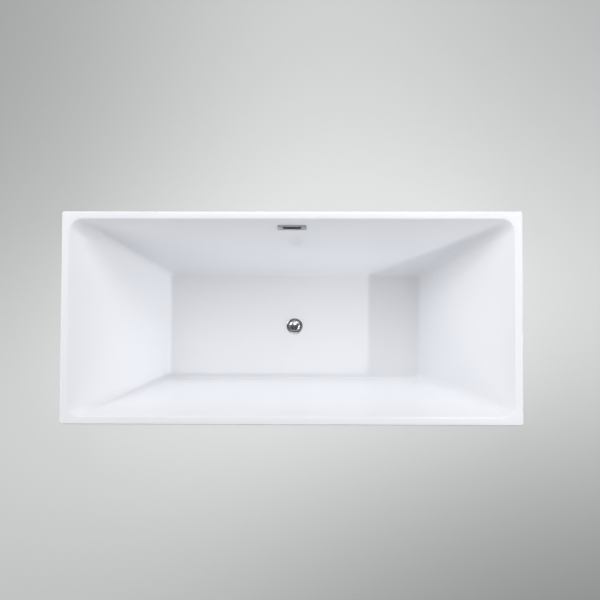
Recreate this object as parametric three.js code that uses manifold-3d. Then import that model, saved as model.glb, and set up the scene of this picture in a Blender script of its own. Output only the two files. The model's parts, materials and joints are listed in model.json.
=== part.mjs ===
// Freestanding rectangular bathtub, built as it comes apart on a bench: an acrylic basin with its
// fibreglass backing and floor board, an outer skirt, a bolted steel frame on six screw feet, a
// push-down drain in the floor and a slotted overflow piped down to it.
//
// Units are millimetres. +X runs along the tub, +Y towards the overflow side and +Z up. The origin
// is on the ground under the centre of the tub.
import * as THREE from "three";
import { mergeVertices } from "three/addons/utils/BufferGeometryUtils.js";
import Module from "manifold-3d";

const wasm = await Module();
wasm.setup();

// ---------------------------------------------------------------- driving dimensions

const LENGTH = 1700; // outside of the rim
const WIDTH = 787;
const HEIGHT = 580; // ground to the top of the rim
const GAP = 0.3; // clearance left between two pieces that touch

const BASIN_DEPTH = 430; // top of the rim to the water side of the floor
const FLOOR_TOP = HEIGHT - BASIN_DEPTH;
const FLOOR_LENGTH = 966; // where the planes of the walls meet the plane of the floor
const FLOOR_WIDTH = 400;
const FLOOR_CORNER = 18;
const END_FILLET = 30; // between the floor and the two sloping ends
const SIDE_FILLET = 14; // between the floor and the two long walls
const RIM_WIDTH = 28;
const RIM_CORNER = 8;
const RIM_EDGE = 3; // rounding of the rim's outer top edge
const MOUTH_CORNER = 46; // the basin's corners at the rim
const MOUTH_EDGE = 7; // rounding from the rim into the basin
const LIP_DROP = 35; // the rim turns down this far over the skirt
const ACRYLIC = 5;
const FIBREGLASS = 3.5;
const BACKING_DROP = 14; // the backing stops this far below the rim
const CORNER_STEPS = 6;

const SKIRT_SEAM = 0.8; // gap between the rim's lip and the skirt
const SKIRT_TOP = HEIGHT - LIP_DROP - SKIRT_SEAM;
const SKIRT_BOTTOM = 6; // held off the ground by the feet
const SKIRT_THICKNESS = 5;
const SKIRT_DRAFT = 14; // how far the skirt draws in from top to bottom
const SKIRT_CORNER = 9;
const TONGUE_TOP = HEIGHT - 10; // the tongue bonds inside the rim's lip
const TONGUE_BOTTOM = 524;
const TONGUE = 4;
const TURN_IN = 25; // stiffening flange round the foot of the skirt
const TURN_IN_HEIGHT = 5;

const BOARD_LENGTH = 940;
const BOARD_WIDTH = 360;
const BOARD_CORNER = 20;
const BOARD_TOP = FLOOR_TOP - ACRYLIC - FIBREGLASS - 2 * GAP;
const BOARD_THICKNESS = 16;
const BOARD_HOLE = 40;

const TUBE = 30; // square steel tube of the frame
const TUBE_WALL = 2;
const CROSSBAR_TOP = BOARD_TOP - BOARD_THICKNESS - GAP;
const RAIL_TOP = CROSSBAR_TOP - TUBE - GAP;
const RAIL_BOTTOM = RAIL_TOP - TUBE;
const RAIL_Y = 290;
const END_RAIL_X = 755;
const CROSSBAR_X = [-430, -150, 150, 430];

const FOOT_X = [-680, 85, 680]; // the middle pair stands clear of the drain's pipe
const STUD_RADIUS = 6;
const STUD_TOP = 126;
const PAD_RADIUS = 25;
const PAD_HEIGHT = 20;
const PAD_SOCKET = 8;
const NUT_FLATS = 19;
const WELD_NUT_HEIGHT = 10;
const LOCK_NUT_HEIGHT = 7;

const BRACKET_X = 520;
const BRACKET_WIDTH = 40;
const BRACKET_STEEL = 3;
const BRACKET_LOW = RAIL_BOTTOM + 4;
const BRACKET_HIGH = 112;
const BOLT_FLATS = 10;
const BOLT_HEAD = 4;

const FLANGE_RADIUS = 31; // the drain's chrome flange
const FLANGE_TOP = FLOOR_TOP + 3.4;
const FLANGE_SEAL = 0.8;
const THROAT = 18; // bore of the drain
const TAIL_RADIUS = 21; // threaded tail of the flange
const TAIL_BOTTOM = 104;
const DRAIN_GASKET = 3;
const WASTE_TOP = BOARD_TOP - DRAIN_GASKET - GAP;
const WASTE_COLLAR = 34;
const WASTE_RADIUS = 26;
const WASTE_WAIST = 26; // height where the body narrows to its outlet thread
const OUTLET_THREAD = 24;
const WASTE_BOTTOM = 9;
const TAILPIECE_RADIUS = 19;
const TAILPIECE_BORE = 16.5;
const TAILPIECE_BOTTOM = 3;
const TAILPIECE_TOP = 24;
const OUTLET_NUT_RADIUS = 29;
const OUTLET_NUT = [5, 22];

const PLUG_RADIUS = 20;
const PLUG_SEAL_BOTTOM = FLOOR_TOP + 8.2; // the plug stands open
const PLUG_SEAL_TOP = PLUG_SEAL_BOTTOM + 2;
const STEM_RADIUS = 4;
const STEM_BOTTOM = 114;
const GUIDE = [108, 136];

const OVERFLOW_DROP = 62; // middle of the slot, below the rim
const COVER_LENGTH = 107;
const COVER_HEIGHT = 32;
const COVER_THICKNESS = 4;
const SLOT_LENGTH = 70;
const SLOT_HEIGHT = 13;
const NECK_LENGTH = 76;
const NECK_HEIGHT = 19;
const COVER_SCREW_X = 45;
const SCREW_RADIUS = 2.3;
const SCREW_HEAD = 4.5;
const OVERFLOW_GASKET = 2;
const HOUSING_LENGTH = 112;
const HOUSING_HEIGHT = 42;
const HOUSING_DEPTH = 22;
const HOUSING_WALL = 2.5;

const PIPE_RADIUS = 12.5;
const PIPE_BORE = 10.5;
const PIPE_Y = 359; // the overflow pipe drops between the basin and the skirt
const PIPE_TOP = 486;
const SPIGOT_RADIUS = 15.5;
const SPIGOT = [462, 496.5];
const SPIGOT_BORE_TOP = 494.5;
const BORE = 9.5;
const RUN_Z = 46; // the level run, under the frame
const ELBOW_RADIUS = 16;
const ELBOW_BEND = 30;
const BEND_STEPS = 8;
const ELBOW_LAND = 8; // the elbow's narrow bore runs on this far past its bend
const SOCKET_DEPTH = 22;
const INLET_END = 54; // the waste body's side inlet, from the drain's axis
const PIPE_NUT_RADIUS = 19;
const PIPE_NUT_LENGTH = 20;

// ---------------------------------------------------------------- materials

const finish = (color, roughness, metalness) =>
  new THREE.MeshStandardMaterial({ color, roughness, metalness });

const acrylic = finish(0xf3f4f7, 0.12, 0);
const fibreglass = finish(0xcfcdb8, 0.75, 0);
const chipboard = finish(0xb98f5e, 0.8, 0);
const galvanised = finish(0xa9adb0, 0.45, 0.9);
const chrome = finish(0xd9dcdf, 0.08, 1);
const stainless = finish(0xb9bcbf, 0.3, 1);
const rubber = finish(0x1d1d1f, 0.8, 0);
const pvc = finish(0xe4e5e3, 0.4, 0);
const nylon = finish(0x2b2c2f, 0.6, 0);

// ---------------------------------------------------------------- solids

// A closed geometry as a solid that can be joined and cut.
function solid(geometry) {
  const bare = geometry.clone();
  bare.deleteAttribute("normal");
  bare.deleteAttribute("uv");
  const merged = mergeVertices(bare, 1e-3);
  const mesh = new wasm.Mesh({
    numProp: 3,
    vertProperties: new Float32Array(merged.attributes.position.array),
    triVerts: new Uint32Array(merged.index.array),
  });
  return new wasm.Manifold(mesh);
}

function geometryOf(body) {
  const mesh = body.getMesh();
  const geometry = new THREE.BufferGeometry();
  geometry.setAttribute("position", new THREE.BufferAttribute(mesh.vertProperties, 3));
  geometry.setIndex(new THREE.BufferAttribute(mesh.triVerts, 1));
  geometry.computeVertexNormals();
  return geometry;
}

// Joins the first list of geometries and cuts the second list out of them.
function carve(joined, cut = []) {
  let body = solid(joined[0]);
  for (const geometry of joined.slice(1)) {
    body = body.add(solid(geometry));
  }
  for (const geometry of cut) {
    body = body.subtract(solid(geometry));
  }
  return geometryOf(body);
}

function box(low, high) {
  const size = high.map((value, axis) => value - low[axis]);
  const middle = high.map((value, axis) => (value + low[axis]) / 2);
  return new THREE.BoxGeometry(...size).translate(...middle);
}

// A round bar along Z.
function bar(radius, low, high, sides = 24) {
  const geometry = new THREE.CylinderGeometry(radius, radius, high - low, sides);
  return geometry.rotateX(Math.PI / 2).translate(0, 0, (low + high) / 2);
}

// A round bar along Y, at the height of the level run.
function levelBar(radius, low, high, sides = 24) {
  return bar(radius, -high, -low, sides).rotateX(Math.PI / 2).translate(0, 0, RUN_Z);
}

// A solid of revolution about Z, from a profile of [radius, height] points.
function turned(profile, sides = 28) {
  const points = profile.map(([radius, height]) => new THREE.Vector2(radius, height));
  return new THREE.LatheGeometry(points, sides).rotateX(Math.PI / 2);
}

// A plain ring about Z.
function washer(inner, outer, low, high, sides = 28) {
  const section = [
    [inner, low],
    [outer, low],
    [outer, high],
    [inner, high],
    [inner, low],
  ];
  return turned(section, sides);
}

function prism(shape, low, high) {
  const depth = high - low;
  const geometry = new THREE.ExtrudeGeometry(shape, { depth, bevelEnabled: false, curveSegments: 4 });
  return geometry.translate(0, 0, low);
}

function roundedShape(length, width, radius) {
  const x = length / 2;
  const y = width / 2;
  const shape = new THREE.Shape();
  shape.absarc(x - radius, y - radius, radius, 0, Math.PI / 2);
  shape.absarc(radius - x, y - radius, radius, Math.PI / 2, Math.PI);
  shape.absarc(radius - x, radius - y, radius, Math.PI, 1.5 * Math.PI);
  shape.absarc(x - radius, radius - y, radius, 1.5 * Math.PI, 2 * Math.PI);
  shape.closePath();
  return shape;
}

function hexagon(flats) {
  const radius = flats / Math.sqrt(3);
  const angles = [0, 1, 2, 3, 4, 5].map((corner) => (corner * Math.PI) / 3);
  const corners = angles.map(
    (angle) => new THREE.Vector2(radius * Math.cos(angle), radius * Math.sin(angle)),
  );
  return new THREE.Shape(corners);
}

// A rounded rectangle at one height, with the same count of points at any size.
function ring({ x, y, radius, z }) {
  const points = [];
  for (let corner = 0; corner < 4; corner++) {
    const centreX = (corner === 0 || corner === 3 ? 1 : -1) * (x - radius);
    const centreY = (corner < 2 ? 1 : -1) * (y - radius);
    for (let step = 0; step <= CORNER_STEPS; step++) {
      const angle = ((corner + step / CORNER_STEPS) * Math.PI) / 2;
      points.push([centreX + radius * Math.cos(angle), centreY + radius * Math.sin(angle), z]);
    }
  }
  return points;
}

// A closed solid through rounded rectangles listed from the lowest to the highest.
function loft(levels) {
  const rings = levels.map(ring);
  const count = rings[0].length;
  const position = rings.flat(2);
  const index = [];
  for (let level = 0; level + 1 < rings.length; level++) {
    const low = level * count;
    const high = low + count;
    for (let side = 0; side < count; side++) {
      const next = (side + 1) % count;
      index.push(low + side, low + next, high + next, low + side, high + next, high + side);
    }
  }
  const top = (rings.length - 1) * count;
  const lowCentre = rings.length * count;
  const highCentre = lowCentre + 1;
  position.push(0, 0, levels[0].z, 0, 0, levels.at(-1).z);
  for (let side = 0; side < count; side++) {
    const next = (side + 1) % count;
    index.push(lowCentre, next, side, highCentre, top + side, top + next);
  }
  const geometry = new THREE.BufferGeometry();
  geometry.setAttribute("position", new THREE.Float32BufferAttribute(position, 3));
  geometry.setIndex(index);
  return geometry;
}

// A rounded rectangle set in by `inset` from the outside of the rim.
function insetLevel(inset, z, radius = RIM_CORNER - inset) {
  return { x: LENGTH / 2 - inset, y: WIDTH / 2 - inset, radius: Math.max(2, radius), z };
}

// ---------------------------------------------------------------- basin

const END_WALL = { top: LENGTH / 2 - RIM_WIDTH, foot: FLOOR_LENGTH / 2, fillet: END_FILLET };
const SIDE_WALL = { top: WIDTH / 2 - RIM_WIDTH, foot: FLOOR_WIDTH / 2, fillet: SIDE_FILLET };
const leanOf = (wall) => Math.atan2(wall.top - wall.foot, BASIN_DEPTH);

// How far a rounding's centre stands back from the corner that it rounds.
const setback = (radius, lean) => radius * Math.tan((Math.PI / 2 - lean) / 2);

// Half the basin's inside at height z, for a surface that lies `outside` beyond the water side.
function reach(wall, z, outside) {
  const lean = leanOf(wall);
  const plane = (height) =>
    wall.foot + (height - FLOOR_TOP) * Math.tan(lean) + outside / Math.cos(lean);
  const floor = FLOOR_TOP - outside;
  const radius = wall.fillet + outside;
  const height = z - floor;
  if (height < radius * (1 - Math.sin(lean))) {
    const centre = plane(floor) - setback(radius, lean);
    return centre + Math.sqrt(radius ** 2 - (radius - height) ** 2);
  }
  const edgeStart = HEIGHT - MOUTH_EDGE * (1 - Math.sin(lean));
  if (outside === 0 && z > edgeStart) {
    const rise = Math.min(z, HEIGHT) - HEIGHT + MOUTH_EDGE;
    return plane(HEIGHT) + setback(MOUTH_EDGE, lean) - Math.sqrt(MOUTH_EDGE ** 2 - rise ** 2);
  }
  return plane(z);
}

// The space inside a surface that lies `outside` beyond the basin's water side.
function basinSpace(outside, top) {
  const floor = FLOOR_TOP - outside;
  const foot = (END_FILLET + outside) * (1 - Math.sin(leanOf(END_WALL)));
  const heights = [0, 0.03, 0.12, 0.3, 0.6, 0.8, 1].map((share) => floor + foot * share);
  if (outside === 0) {
    const edge = MOUTH_EDGE * (1 - Math.sin(leanOf(SIDE_WALL)));
    heights.push(...[1, 0.7, 0.4, 0.15, 0].map((share) => HEIGHT - edge * share));
  }
  heights.push(top);
  const levels = heights.map((z) => {
    const share = Math.min(1, (z - floor) / (HEIGHT - floor));
    const radius = FLOOR_CORNER + (MOUTH_CORNER - FLOOR_CORNER) * share + outside;
    return { x: reach(END_WALL, z, outside), y: reach(SIDE_WALL, z, outside), radius, z };
  });
  return loft(levels);
}

// The middle of the overflow on the water side of the back wall, local +Z out of the wall into
// the basin and local +Y up the wall.
const OVERFLOW_Z = HEIGHT - OVERFLOW_DROP;
const overflowPlace = new THREE.Matrix4()
  .makeTranslation(0, reach(SIDE_WALL, OVERFLOW_Z, 0), OVERFLOW_Z)
  .multiply(new THREE.Matrix4().makeRotationX(Math.PI / 2 - leanOf(SIDE_WALL)));
const atOverflow = (geometry) => geometry.applyMatrix4(overflowPlace);

// The cuts for the overflow's neck and its two screws, between two local heights.
function overflowCuts(low, high) {
  const neck = prism(roundedShape(NECK_LENGTH + 2, NECK_HEIGHT + 2, 4), low, high);
  const screws = [-COVER_SCREW_X, COVER_SCREW_X].map((x) =>
    bar(SCREW_RADIUS + GAP, low, high, 12).translate(x, 0, 0),
  );
  return [neck, ...screws];
}

// The rim with its outer top edge rounded over, down to the foot of its lip.
function rimBlock() {
  const levels = [insetLevel(0, HEIGHT - LIP_DROP)];
  for (const turn of [0, 30, 60, 90]) {
    const angle = THREE.MathUtils.degToRad(turn);
    const inset = RIM_EDGE * (1 - Math.cos(angle));
    levels.push(insetLevel(inset, HEIGHT - RIM_EDGE * (1 - Math.sin(angle))));
  }
  return loft(levels);
}

function basin() {
  const low = HEIGHT - LIP_DROP - 1;
  const hollow = loft([insetLevel(ACRYLIC, low), insetLevel(ACRYLIC, HEIGHT - ACRYLIC)]);
  const rim = solid(carve([rimBlock()], [hollow]));
  const outside = solid(basinSpace(ACRYLIC, HEIGHT - RIM_EDGE));
  let shell = rim.add(outside).subtract(solid(basinSpace(0, HEIGHT + 1)));
  const drain = bar(TAIL_RADIUS + 2, FLOOR_TOP - ACRYLIC - 1, FLOOR_TOP + 1);
  for (const cut of [drain, ...overflowCuts(-ACRYLIC - 2, 2).map(atOverflow)]) {
    shell = shell.subtract(solid(cut));
  }
  return geometryOf(shell);
}

function basinBacking() {
  const top = HEIGHT - BACKING_DROP;
  const inner = ACRYLIC + GAP;
  const outer = inner + FIBREGLASS;
  const drain = bar(TAIL_RADIUS + 3, FLOOR_TOP - outer - 1, FLOOR_TOP);
  const overflow = overflowCuts(-outer - 3, 0).map(atOverflow);
  return carve([basinSpace(outer, top)], [basinSpace(inner, top + 1), drain, ...overflow]);
}

function floorBoard() {
  const bottom = BOARD_TOP - BOARD_THICKNESS;
  const outline = roundedShape(BOARD_LENGTH, BOARD_WIDTH, BOARD_CORNER);
  const hole = bar(BOARD_HOLE, bottom - 1, BOARD_TOP + 1, 32);
  return carve([prism(outline, bottom, BOARD_TOP)], [hole]);
}

// ---------------------------------------------------------------- skirt

// How far the skirt's outside stands in from the outside of the rim.
const draftAt = (z) => (SKIRT_DRAFT * (SKIRT_TOP - z)) / (SKIRT_TOP - SKIRT_BOTTOM);

function skirt() {
  const turnInTop = SKIRT_BOTTOM + TURN_IN_HEIGHT;
  const tongueIn = ACRYLIC + GAP + TONGUE;
  const outside = loft([
    insetLevel(SKIRT_DRAFT, SKIRT_BOTTOM, SKIRT_CORNER),
    insetLevel(0, SKIRT_TOP, SKIRT_CORNER),
  ]);
  const tongue = loft([
    insetLevel(ACRYLIC + GAP, TONGUE_BOTTOM, SKIRT_CORNER),
    insetLevel(ACRYLIC + GAP, TONGUE_TOP, SKIRT_CORNER),
  ]);
  const inside = loft([
    insetLevel(draftAt(turnInTop) + SKIRT_THICKNESS, turnInTop, SKIRT_CORNER),
    insetLevel(draftAt(TONGUE_BOTTOM) + SKIRT_THICKNESS, TONGUE_BOTTOM, SKIRT_CORNER),
    insetLevel(tongueIn, TONGUE_BOTTOM + 2, SKIRT_CORNER),
    insetLevel(tongueIn, TONGUE_TOP + 1, SKIRT_CORNER),
  ]);
  const foot = loft([
    insetLevel(SKIRT_DRAFT + SKIRT_THICKNESS + TURN_IN, SKIRT_BOTTOM - 1, SKIRT_CORNER),
    insetLevel(SKIRT_DRAFT + SKIRT_THICKNESS + TURN_IN, turnInTop + 1, SKIRT_CORNER),
  ]);
  return carve([outside, tongue], [inside, foot]);
}

// A bent steel strip from a rail's outer face, `from` out from the tub's middle, to the skirt's
// inner face. It is made on the +Y side.
function skirtBracket(from, halfSize) {
  const near = from + GAP;
  const far = halfSize - draftAt(BRACKET_LOW) - SKIRT_THICKNESS - GAP;
  const x = BRACKET_WIDTH / 2;
  const railLeg = box([-x, near, BRACKET_LOW], [x, near + BRACKET_STEEL, RAIL_TOP]);
  const floor = box([-x, near, BRACKET_LOW], [x, far, BRACKET_LOW + BRACKET_STEEL]);
  const skirtLeg = box([-x, far - BRACKET_STEEL, BRACKET_LOW], [x, far, BRACKET_HIGH]);
  const boltZ = (BRACKET_LOW + BRACKET_STEEL + RAIL_TOP) / 2;
  const head = prism(hexagon(BOLT_FLATS), 0, BRACKET_STEEL / 2 + BOLT_HEAD);
  head.rotateX(-Math.PI / 2).translate(0, near + BRACKET_STEEL / 2, boltZ);
  return carve([railLeg, floor, skirtLeg, head]);
}

// ---------------------------------------------------------------- frame and feet

// A square tube, open at both ends, along X or Y.
function squareTube(axis, length) {
  const half = axis === "x" ? [length / 2, TUBE / 2, TUBE / 2] : [TUBE / 2, length / 2, TUBE / 2];
  const open = axis === "x" ? [1, 0, 0] : [0, 1, 0];
  const bore = half.map((value, index) => (open[index] ? value + 1 : value - TUBE_WALL));
  const negative = (values) => values.map((value) => -value);
  return [box(negative(half), half), box(negative(bore), bore)];
}

// A long rail with a weld nut under it for each foot, bored for the studs.
function longRail(y) {
  const length = 2 * (END_RAIL_X - TUBE / 2 - GAP);
  const middle = (RAIL_TOP + RAIL_BOTTOM) / 2;
  const [tube, bore] = squareTube("x", length).map((part) => part.translate(0, y, middle));
  const nutBottom = RAIL_BOTTOM - WELD_NUT_HEIGHT;
  const nuts = FOOT_X.map((x) =>
    prism(hexagon(NUT_FLATS), nutBottom, RAIL_BOTTOM + TUBE_WALL / 2).translate(x, y, 0),
  );
  const holes = FOOT_X.map((x) =>
    bar(STUD_RADIUS + GAP, nutBottom - 1, RAIL_TOP + 1).translate(x, y, 0),
  );
  return carve([tube, ...nuts], [bore, ...holes]);
}

function endRail(x) {
  const length = 2 * RAIL_Y + TUBE;
  const middle = (RAIL_TOP + RAIL_BOTTOM) / 2;
  const [tube, bore] = squareTube("y", length).map((part) => part.translate(x, 0, middle));
  return carve([tube], [bore]);
}

function crossbar(x) {
  const length = 2 * RAIL_Y + TUBE;
  const middle = CROSSBAR_TOP - TUBE / 2;
  const [tube, bore] = squareTube("y", length).map((part) => part.translate(x, 0, middle));
  return carve([tube], [bore]);
}

function footPad() {
  const socket = STUD_RADIUS + GAP;
  return turned([
    [0, 0],
    [PAD_RADIUS - 2, 0],
    [PAD_RADIUS, 2],
    [PAD_RADIUS, 6],
    [14, 11],
    [12, PAD_HEIGHT],
    [socket, PAD_HEIGHT],
    [socket, PAD_SOCKET],
    [0, PAD_SOCKET],
  ]);
}

function footStud() {
  const bottom = PAD_SOCKET + GAP;
  return turned(
    [
      [0, bottom],
      [STUD_RADIUS - 1, bottom],
      [STUD_RADIUS, bottom + 1],
      [STUD_RADIUS, STUD_TOP - 1],
      [STUD_RADIUS - 1, STUD_TOP],
      [0, STUD_TOP],
    ],
    20,
  );
}

function footLockNut() {
  const top = RAIL_BOTTOM - WELD_NUT_HEIGHT - GAP;
  const nut = prism(hexagon(NUT_FLATS), top - LOCK_NUT_HEIGHT, top);
  return carve([nut], [bar(STUD_RADIUS + GAP, 0, top + 1)]);
}

// ---------------------------------------------------------------- drain

function drainFlange() {
  const under = FLOOR_TOP + FLANGE_SEAL + 2 * GAP;
  return turned(
    [
      [THROAT, TAIL_BOTTOM],
      [TAIL_RADIUS, TAIL_BOTTOM],
      [TAIL_RADIUS, under],
      [FLANGE_RADIUS - 0.6, under],
      [FLANGE_RADIUS, under + 0.6],
      [FLANGE_RADIUS - 0.4, FLANGE_TOP - 0.4],
      [FLANGE_RADIUS - 1.5, FLANGE_TOP],
      [THROAT + 7, FLANGE_TOP - 1.2],
      [THROAT + 3, FLANGE_TOP - 2.4],
      [THROAT, FLANGE_TOP - 5],
      [THROAT, TAIL_BOTTOM],
    ],
    40,
  );
}

function plugCap() {
  const bottom = PLUG_SEAL_TOP + GAP;
  return turned(
    [
      [0, bottom],
      [PLUG_RADIUS - 1.5, bottom],
      [PLUG_RADIUS, bottom + 1],
      [PLUG_RADIUS, bottom + 2.2],
      [PLUG_RADIUS - 2, bottom + 4.2],
      [PLUG_RADIUS - 7, bottom + 6],
      [PLUG_RADIUS - 13, bottom + 6.9],
      [0, bottom + 7.2],
    ],
    36,
  );
}

// A barrel on four ribs that keeps the plug's stem upright in the throat.
function plugGuide() {
  const [low, high] = GUIDE;
  const ribs = [0, 1].map((turn) =>
    box([GAP - THROAT, -1, low + 4], [THROAT - GAP, 1, high - 4]).rotateZ((turn * Math.PI) / 2),
  );
  const rim = washer(THROAT - 2, THROAT - GAP, low + 4, low + 8, 40);
  return carve([bar(STEM_RADIUS + 3, low, high), ...ribs, rim], [
    bar(STEM_RADIUS + GAP, low - 1, high + 1),
  ]);
}

// The tee under the drain: a collar against the floor, a side inlet for the overflow's pipe and
// an outlet thread at the foot.
function wasteBody() {
  const outside = turned([
    [0, WASTE_BOTTOM],
    [OUTLET_THREAD, WASTE_BOTTOM],
    [OUTLET_THREAD, WASTE_WAIST],
    [WASTE_RADIUS, WASTE_WAIST + 2],
    [WASTE_RADIUS, WASTE_TOP - 14],
    [WASTE_COLLAR, WASTE_TOP - 7],
    [WASTE_COLLAR, WASTE_TOP],
    [0, WASTE_TOP],
  ]);
  const bores = [
    bar(TAIL_RADIUS + GAP, TAIL_BOTTOM - 2, WASTE_TOP + 1, 28),
    bar(TAILPIECE_RADIUS + GAP, WASTE_BOTTOM - 1, TAIL_BOTTOM, 28),
    levelBar(BORE, 0, INLET_END),
    levelBar(PIPE_RADIUS + GAP, INLET_END - SOCKET_DEPTH, INLET_END + 1),
  ];
  return carve([outside, levelBar(SPIGOT_RADIUS, TAIL_RADIUS, INLET_END)], bores);
}

// A cap nut with grip ribs: a wide bore over a thread and a narrow one round a pipe.
function pipeNut({ radius, wide, narrow, shoulder, low, high, ribs }) {
  const sleeve = turned([
    [narrow, low],
    [radius - 1.5, low],
    [radius, low + 1.5],
    [radius, high],
    [wide, high],
    [wide, shoulder],
    [narrow, shoulder],
    [narrow, low],
  ]);
  const grips = Array.from({ length: ribs }, (_, rib) =>
    box([radius - 1, -1.5, low + 3], [radius + 1.4, 1.5, high - 1]).rotateZ(
      (2 * Math.PI * rib) / ribs,
    ),
  );
  return carve([sleeve, ...grips]);
}

function outletNut() {
  return pipeNut({
    radius: OUTLET_NUT_RADIUS,
    wide: OUTLET_THREAD + GAP,
    narrow: TAILPIECE_RADIUS + GAP,
    shoulder: WASTE_BOTTOM - GAP,
    low: OUTLET_NUT[0],
    high: OUTLET_NUT[1],
    ribs: 12,
  });
}

// ---------------------------------------------------------------- overflow

function overflowCover() {
  const outline = roundedShape(COVER_LENGTH, COVER_HEIGHT, 3);
  const slot = prism(roundedShape(SLOT_LENGTH, SLOT_HEIGHT, 2.5), 0, COVER_THICKNESS + 2);
  const screws = [-COVER_SCREW_X, COVER_SCREW_X].map((x) =>
    bar(SCREW_RADIUS + GAP, 0, COVER_THICKNESS + 2, 12).translate(x, 0, 0),
  );
  const plate = prism(outline, GAP, GAP + COVER_THICKNESS);
  return atOverflow(carve([plate], [slot, ...screws]));
}

function overflowScrew(x) {
  const head = GAP + COVER_THICKNESS + GAP;
  return atOverflow(
    turned(
      [
        [0, -26],
        [SCREW_RADIUS, -25],
        [SCREW_RADIUS, head],
        [SCREW_HEAD, head],
        [SCREW_HEAD - 0.3, head + 1],
        [SCREW_HEAD - 2, head + 1.9],
        [0, head + 2.2],
      ],
      16,
    ).translate(x, 0, 0),
  );
}

const GASKET_BACK = -(ACRYLIC + FIBREGLASS + 2 * GAP) - OVERFLOW_GASKET;

function overflowGasket() {
  const outline = roundedShape(HOUSING_LENGTH - 4, HOUSING_HEIGHT - 6, 5);
  const plate = prism(outline, GASKET_BACK, GASKET_BACK + OVERFLOW_GASKET);
  return atOverflow(carve([plate], overflowCuts(GASKET_BACK - 1, 0)));
}

// A hollow box behind the wall, with a neck through it and a round outlet below.
function overflowHousing() {
  const front = GASKET_BACK - GAP;
  const back = front - HOUSING_DEPTH;
  const block = prism(roundedShape(HOUSING_LENGTH, HOUSING_HEIGHT, 6), back, front);
  const neck = prism(roundedShape(NECK_LENGTH, NECK_HEIGHT, 3), front - 1, -0.5);
  const hollow = box(
    [-NECK_LENGTH / 2, HOUSING_WALL - HOUSING_HEIGHT / 2, back + HOUSING_WALL],
    [NECK_LENGTH / 2, HOUSING_HEIGHT / 2 - HOUSING_WALL, front - HOUSING_WALL],
  );
  const mouth = prism(roundedShape(NECK_LENGTH - 5, NECK_HEIGHT - 5, 2), front - 6, 1);
  const screws = [-COVER_SCREW_X, COVER_SCREW_X].map((x) =>
    bar(SCREW_RADIUS + GAP, back + 3, 1, 12).translate(x, 0, 0),
  );
  const spigot = bar(SPIGOT_RADIUS, ...SPIGOT, 28).translate(0, PIPE_Y, 0);
  const bores = [
    bar(BORE, SPIGOT[0] - 1, SPIGOT_BORE_TOP).translate(0, PIPE_Y, 0),
    bar(PIPE_RADIUS + GAP, SPIGOT[0] - 1, PIPE_TOP + GAP).translate(0, PIPE_Y, 0),
  ];
  return carve(
    [block, neck].map(atOverflow).concat(spigot),
    [hollow, mouth, ...screws].map(atOverflow).concat(bores),
  );
}

function overflowDropPipe() {
  const bottom = RUN_Z + ELBOW_BEND + ELBOW_LAND + GAP;
  return washer(PIPE_BORE, PIPE_RADIUS, bottom, PIPE_TOP).translate(0, PIPE_Y, 0);
}

// A round bar through the elbow's bend, running on `extra` past each end of it.
function elbowBar(radius, extra) {
  const inner = PIPE_Y - ELBOW_BEND;
  const corner = RUN_Z + ELBOW_BEND;
  const at = (y, z) => new THREE.Vector3(0, y, z);
  const points = [at(PIPE_Y, corner + extra)];
  for (let step = 0; step <= BEND_STEPS; step++) {
    const angle = (step / BEND_STEPS) * (Math.PI / 2);
    const across = ELBOW_BEND * Math.cos(angle);
    points.push(at(inner + across, corner - ELBOW_BEND * Math.sin(angle)));
  }
  points.push(at(inner - extra, RUN_Z));
  return pipeThrough(points, radius);
}

// A closed round bar whose sections stand square to a path of points in the YZ plane.
function pipeThrough(points, radius, sides = 24) {
  const position = [];
  const index = [];
  points.forEach((point, place) => {
    const before = points[Math.max(0, place - 1)];
    const after = points[Math.min(points.length - 1, place + 1)];
    const ahead = after.clone().sub(before).normalize();
    const across = new THREE.Vector3(1, 0, 0);
    const up = new THREE.Vector3().crossVectors(ahead, across);
    for (let side = 0; side < sides; side++) {
      const angle = (2 * Math.PI * side) / sides;
      const offset = across.clone().multiplyScalar(radius * Math.cos(angle));
      offset.addScaledVector(up, radius * Math.sin(angle));
      position.push(...point.clone().add(offset).toArray());
    }
  });
  for (let place = 0; place + 1 < points.length; place++) {
    for (let side = 0; side < sides; side++) {
      const next = (side + 1) % sides;
      const low = place * sides;
      const high = low + sides;
      index.push(low + side, low + next, high + next, low + side, high + next, high + side);
    }
  }
  const last = (points.length - 1) * sides;
  const first = position.length / 3;
  position.push(...points[0].toArray(), ...points.at(-1).toArray());
  for (let side = 0; side < sides; side++) {
    const next = (side + 1) % sides;
    index.push(first, next, side, first + 1, last + side, last + next);
  }
  const geometry = new THREE.BufferGeometry();
  geometry.setAttribute("position", new THREE.Float32BufferAttribute(position, 3));
  geometry.setIndex(index);
  return geometry;
}

function overflowElbow() {
  const corner = RUN_Z + ELBOW_BEND;
  const inner = PIPE_Y - ELBOW_BEND;
  const end = ELBOW_LAND + SOCKET_DEPTH;
  const upper = bar(PIPE_RADIUS + GAP, corner + ELBOW_LAND, corner + end + 1);
  const lower = levelBar(PIPE_RADIUS + GAP, inner - end - 1, inner - ELBOW_LAND);
  const bores = [elbowBar(BORE, ELBOW_LAND + 1), upper.translate(0, PIPE_Y, 0), lower];
  return carve([elbowBar(ELBOW_RADIUS, end)], bores);
}

function overflowRunPipe() {
  const near = INLET_END - SOCKET_DEPTH + GAP;
  const far = PIPE_Y - ELBOW_BEND - ELBOW_LAND - GAP;
  return carve([levelBar(PIPE_RADIUS, near, far, 28)], [levelBar(PIPE_BORE, near - 1, far + 1, 28)]);
}

const pipeNutSizes = {
  radius: PIPE_NUT_RADIUS,
  wide: SPIGOT_RADIUS + GAP,
  narrow: PIPE_RADIUS + GAP,
  ribs: 8,
};

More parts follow.
